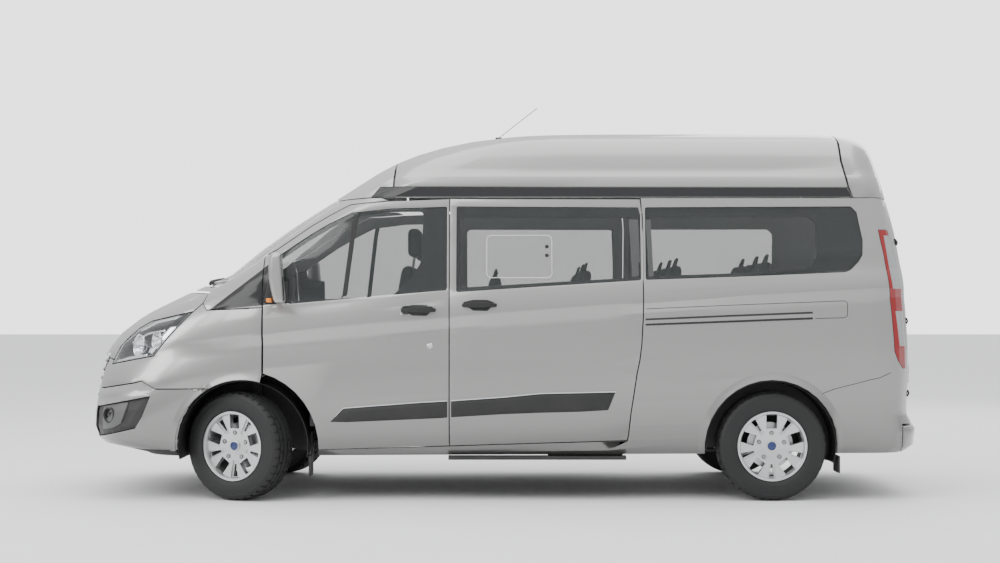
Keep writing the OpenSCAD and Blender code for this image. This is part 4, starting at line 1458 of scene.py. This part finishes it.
class MINIBUS_OT_seats(bpy.types.Operator):
    """Upholsters the seats: padded cushions and backs in channelled cloth, headrests and grab bars"""

    bl_idname = "minibus.seats"
    bl_label = "Seats"

    def execute(self, context):
        width = context.scene.minibus_sizes.seat_width
        cushion = self.pad((0.05, -width / 2, 0.008), (0.432, width / 2, 0.098), 0.03)
        back = self.pad((-0.03, -width / 2, 0.06), (0.034, width / 2, 0.648), 0.024)
        self.channels(cushion, 1, 0.0045, lambda co: co.z > 0.06)
        self.channels(back, 1, 0.005, lambda co: True)
        for vert in back.data.vertices:
            vert.co.x += 0.035 - 0.17 * (vert.co.z - 0.08)
        base = ((0.102, 0.761), (-0.473, 0.8), (-1.048, 0.829), (-1.623, 0.853))
        spots = [(x, y, z, 1.0, "row") for x, z in base for y in (0.55, 0.11, -0.56)]
        spots += [(-2.15, y, 0.856, 0.94, "row") for y in (-0.63, -0.21, 0.21, 0.63)]
        spots += [(0.665, y, 0.83, wide, "front") for y,
            wide in ((0.43, 1.17), (-0.56, 1.17), (-0.18, 0.55))]
        for index, (x, y, z, wide, kind) in enumerate(spots):
            place = Matrix.Translation((x, y, z)) @ Matrix.Diagonal((1, wide, 1, 1))
            for source, name in ((cushion, "cushion"), (back, "backrest")):
                piece = moved_copy(source, place)
                smooth(piece, 60)
                node = "front_seats" if kind == "front" else "passenger_seats"
                first = index in (0, 16) and name == "cushion"
                done(piece, f"seat_{index}_{name}", BODY, look("cloth"),
                    (node,) if first else ())
            self.frame(index, x, y, z, wide, kind)
        for source in (cushion, back):
            bpy.data.objects.remove(source)
        return {"FINISHED"}

    def pad(self, low, high, rounding):
        """A stuffed pad: a rounded block, remeshed and blown up as cloth."""
        piece = block(low, high, rounding, 4)
        modifier = piece.modifiers.new("even", "REMESH")
        modifier.mode = "VOXEL"
        modifier.voxel_size = 0.0095
        apply_modifiers(piece)
        start = [vert.co.copy() for vert in piece.data.vertices]
        cloth = piece.modifiers.new("cloth", "CLOTH")
        cloth.settings.use_pressure = True
        cloth.settings.uniform_pressure_force = 4
        cloth.settings.effector_weights.gravity = 0
        cloth.settings.quality = 5
        cloth.point_cache.frame_start = 1
        cloth.point_cache.frame_end = 20
        for step in range(1, 21):
            bpy.context.scene.frame_set(step)
        activate(piece)
        bpy.ops.object.modifier_apply(modifier=cloth.name)
        bpy.context.scene.frame_set(1)
        for vert, was in zip(piece.data.vertices, start):
            move = vert.co - was
            if move.length > 0.009:
                vert.co = was + move.normalized() * 0.009
        return piece

    def channels(self, piece, axis, depth, test):
        """Sewn channels that run up the pad, 70 mm apart, pressed in along the normals."""
        piece.data.update()
        normals = [vert.normal.copy() for vert in piece.data.vertices]
        for vert, normal in zip(piece.data.vertices, normals):
            off = ((vert.co[axis] / 0.07) % 1) - 0.5
            press = math.exp(-((off * 0.07) / 0.008) ** 2)
            if test(vert.co) and abs(vert.co[axis]) < 0.19:
                vert.co -= normal * depth * press

    def frame(self, index, x, y, z, wide, kind):
        """Legs, side trims and, on the rows, a grab bar on the aisle side of the back."""
        floor = 0.502
        half = 0.19 * wide
        legs = []
        for side in (-1, 1):
            post = block((x + 0.08, y + side * half - 0.014, floor),
                (x + 0.36, y + side * half + 0.014, z + 0.004), 0.006, 2)
            edit(post)
            select_faces(post, lambda f: abs(f.normal.y) > 0.9 and f.calc_area() > 0.01)
            bpy.ops.mesh.inset(thickness=0.03, depth=0)
            bpy.ops.mesh.inset(thickness=0.002, depth=-0.004)
            leave_edit()
            legs.append(post)
        over_wheel = kind == "row" and z > 0.84 and abs(y) > 0.3
        if not over_wheel:
            frame_piece = joined(legs)
            smooth(frame_piece, 35)
            done(frame_piece, f"seat_{index}_legs", BODY, look("chassis"))
        else:
            for post in legs:
                bpy.data.objects.remove(post)
        if kind == "front":
            if wide > 0.8:
                head = block((x - 0.135, y - 0.125, z + 0.70), (x - 0.05, y + 0.125, z + 0.885), 0.035, 4)
                smooth(head, 60)
                done(head, f"seat_{index}_headrest", BODY, look("cloth"))
                for side in (-1, 1):
                    post = tube([(x - 0.075, y + side * 0.06, z + 0.62),
                        (x - 0.09, y + side * 0.06, z + 0.72)], 0.006)
                    done(post, f"seat_{index}_headrest_post_{side + 1}", BODY, look("chrome"))
            return
        top = z + 0.66
        lean = x - 0.06
        bar = tube([
            (lean + 0.02, y + half * 0.55, top - 0.03), (lean + 0.005, y + half * 0.56, top + 0.012),
            (lean, y + half * 0.62, top + 0.022), (lean, y + half * 0.95, top + 0.022),
            (lean + 0.005, y + half * 1.02, top + 0.01), (lean + 0.02, y + half * 1.03, top - 0.06),
        ], 0.008)
        done(bar, f"seat_{index}_grab_bar", BODY, look("seal"))


class MINIBUS_OT_cabin(bpy.types.Operator):
    """Finishes the dashboard and adds its hood, screen and vents"""

    bl_idname = "minibus.cabin"
    bl_label = "Cabin fittings"

    def execute(self, context):
        dash = cad_copy("dashboard")
        bevelled(dash, 0.018, 4, 40)
        smooth(dash, 40)
        done(dash, "dashboard_moulding", BODY, look("trim"), ("dashboard",))
        hood = block((1.37, 0.27, 1.165), (1.56, 0.6, 1.225), 0.02, 4)
        for vert in hood.data.vertices:
            t = (vert.co.y - 0.435) / 0.165
            if vert.co.z > 1.19:
                vert.co.z -= 0.03 * t * t
        edit(hood)
        select_faces(hood, lambda f: f.normal.x < -0.9)
        bpy.ops.mesh.inset(thickness=0.008, depth=0)
        bpy.ops.mesh.extrude_region_move(TRANSFORM_OT_translate={"value": (0.05, 0, 0)})
        leave_edit()
        smooth(hood, 40)
        done(hood, "instrument_hood", BODY, look("trim"))
        screen = block((1.392, -0.13, 1.09), (1.404, 0.09, 1.16), 0.004, 2)
        edit(screen)
        select_faces(screen, lambda f: f.normal.x < -0.9)
        bpy.ops.mesh.inset(thickness=0.008, depth=-0.002)
        leave_edit()
        smooth(screen, 35)
        done(screen, "centre_screen", BODY, look("gloss_black"))
        for index, y in enumerate((-0.72, -0.2, 0.16, 0.72)):
            vent = turned(
                [(0.0, 0.0), (0.03, 0.0), (0.03, 0.008), (0.036, 0.01), (0.042, 0.006), (0.042, -0.01),
                    (0.0, -0.01)],
                (1.4, y, 1.12), (-1, 0, 0), 36)
            smooth(vent, 40)
            done(vent, f"air_vent_{index}", BODY, look("gloss_black"))
        return {"FINISHED"}


CARRIED = {
    "floor_pan": "floor_mat", "body_frame": "chassis", "front_grille": "trim",
    "roof_side_trims": "gloss_black", "tail_lights": "tail_lamp", "side_steps": "trim",
    "mud_flaps": "seal", "antenna": "trim", "engine_block": "iron", "rear_axle": "chassis",
    "fuel_tank": "trim", "exhaust": "iron", "steering_wheel": "trim", "knuckle_left": "iron",
    "knuckle_right": "iron",
}


class MINIBUS_OT_carried_over(bpy.types.Operator):
    """Gives each CAD node that stays in view its material"""

    bl_idname = "minibus.carried_over"
    bl_label = "Carried-over nodes"

    def execute(self, context):
        for node, name in CARRIED.items():
            mesh = frame["nodes"][node].data
            mesh.materials.clear()
            mesh.materials.append(look(name))
        return {"FINISHED"}


class MINIBUS_OT_stage(bpy.types.Operator):
    """Sets up the floor, the lights and the camera"""

    bl_idname = "minibus.stage"
    bl_label = "Stage"

    def execute(self, context):
        sizes = context.scene.minibus_sizes
        deselect_all()
        bpy.ops.mesh.primitive_plane_add(size=120, location=(0, 0, 0))
        floor = bpy.context.object
        floor.name = "studio_floor"
        m = Maker("Pale Studio Floor")
        mask = m.grain(40)[1]
        m.set(Roughness=0.85)
        m.colour(m.mix(mask, (0.80, 0.80, 0.80), (0.86, 0.86, 0.86)))
        floor.data.materials.append(m.material)
        self.sky(context)
        for name, place, aim, size, power in (
            ("key", (5, 8, 8), (0, 0, 1), 6, 350),
            ("top", (-1, 0, 8), (0, 0, 0), 9, 420),
            ("nose", (9, 4, 5), (1.8, 0.6, 0.9), 4, 260),
            ("back", (-5, -8, 6), (0, 0, 1), 6, 220),
        ):
            light = bpy.data.lights.new(name, "AREA")
            light.size = size
            light.energy = power
            lamp = bpy.data.objects.new(name, light)
            context.scene.collection.objects.link(lamp)
            lamp.location = place
            lamp.rotation_euler = (Vector(aim) - Vector(place)).to_track_quat("-Z", "Y").to_euler()
        view = bpy.data.cameras.new("camera")
        view.sensor_width = 36
        view.lens = 62.1
        view.shift_x = -0.006
        view.shift_y = 0.0235
        view.clip_end = 200
        camera = bpy.data.objects.new("camera", view)
        context.scene.collection.objects.link(camera)
        camera.location = (-0.02, sizes.camera_distance, sizes.camera_height)
        camera.rotation_euler = (math.radians(90), 0, math.radians(180))
        context.scene.camera = camera
        return {"FINISHED"}

    def sky(self, context):
        """An even studio sky: brightest overhead, dimmer towards the ground, white behind."""
        world = context.scene.world or bpy.data.worlds.new("Studio")
        context.scene.world = world
        world.use_nodes = True
        nodes, links = world.node_tree.nodes, world.node_tree.links
        light = nodes["Background"]
        light.inputs["Color"].default_value = (0.98, 0.99, 1.0, 1)
        place = nodes.new("ShaderNodeTexCoord")
        split = nodes.new("ShaderNodeSeparateXYZ")
        height = nodes.new("ShaderNodeMapRange")
        height.inputs["From Min"].default_value = -0.2
        height.inputs["From Max"].default_value = 0.9
        height.inputs["To Min"].default_value = 0.55
        height.inputs["To Max"].default_value = 1.7
        backdrop = nodes.new("ShaderNodeBackground")
        backdrop.inputs["Color"].default_value = (1, 1, 1, 1)
        backdrop.inputs["Strength"].default_value = 2.6
        ray = nodes.new("ShaderNodeLightPath")
        mix = nodes.new("ShaderNodeMixShader")
        links.new(place.outputs["Generated"], split.inputs[0])
        links.new(split.outputs["Z"], height.inputs["Value"])
        links.new(height.outputs[0], light.inputs["Strength"])
        links.new(ray.outputs["Is Camera Ray"], mix.inputs[0])
        links.new(light.outputs[0], mix.inputs[1])
        links.new(backdrop.outputs[0], mix.inputs[2])
        links.new(mix.outputs[0], nodes["World Output"].inputs["Surface"])


class MINIBUS_PT_panel(bpy.types.Panel):
    """Shows the colours, the sizes and the steps in the sidebar"""

    bl_label = "Minibus"
    bl_idname = "MINIBUS_PT_panel"
    bl_space_type = "VIEW_3D"
    bl_region_type = "UI"
    bl_category = "Minibus"

    def draw(self, context):
        for group in (context.scene.minibus_colours, context.scene.minibus_sizes):
            for name in group.bl_rna.properties.keys():
                if name not in ("rna_type", "name"):
                    self.layout.prop(group, name)
        for step in STEPS:
            self.layout.operator(step.bl_idname)


STEPS = (
    MINIBUS_OT_stage,
    MINIBUS_OT_body_panels,
    MINIBUS_OT_window_glass,
    MINIBUS_OT_arch_flares,
    MINIBUS_OT_side_trim,
    MINIBUS_OT_door_handles,
    MINIBUS_OT_mirrors,
    MINIBUS_OT_headlamps,
    MINIBUS_OT_nose,
    MINIBUS_OT_wheels,
    MINIBUS_OT_seats,
    MINIBUS_OT_cabin,
    MINIBUS_OT_carried_over,
)
CLASSES = (MinibusColours, MinibusSizes, *STEPS, MINIBUS_PT_panel)


def register():
    for item in CLASSES:
        bpy.utils.register_class(item)
    bpy.types.Scene.minibus_colours = bpy.props.PointerProperty(type=MinibusColours)
    bpy.types.Scene.minibus_sizes = bpy.props.PointerProperty(type=MinibusSizes)


def unregister():
    del bpy.types.Scene.minibus_sizes
    del bpy.types.Scene.minibus_colours
    for item in reversed(CLASSES):
        bpy.utils.unregister_class(item)


def main():
    register()
    for step in STEPS:
        section, action = step.bl_idname.split(".")
        getattr(getattr(bpy.ops, section), action)()


if __name__ == "__main__":
    main()
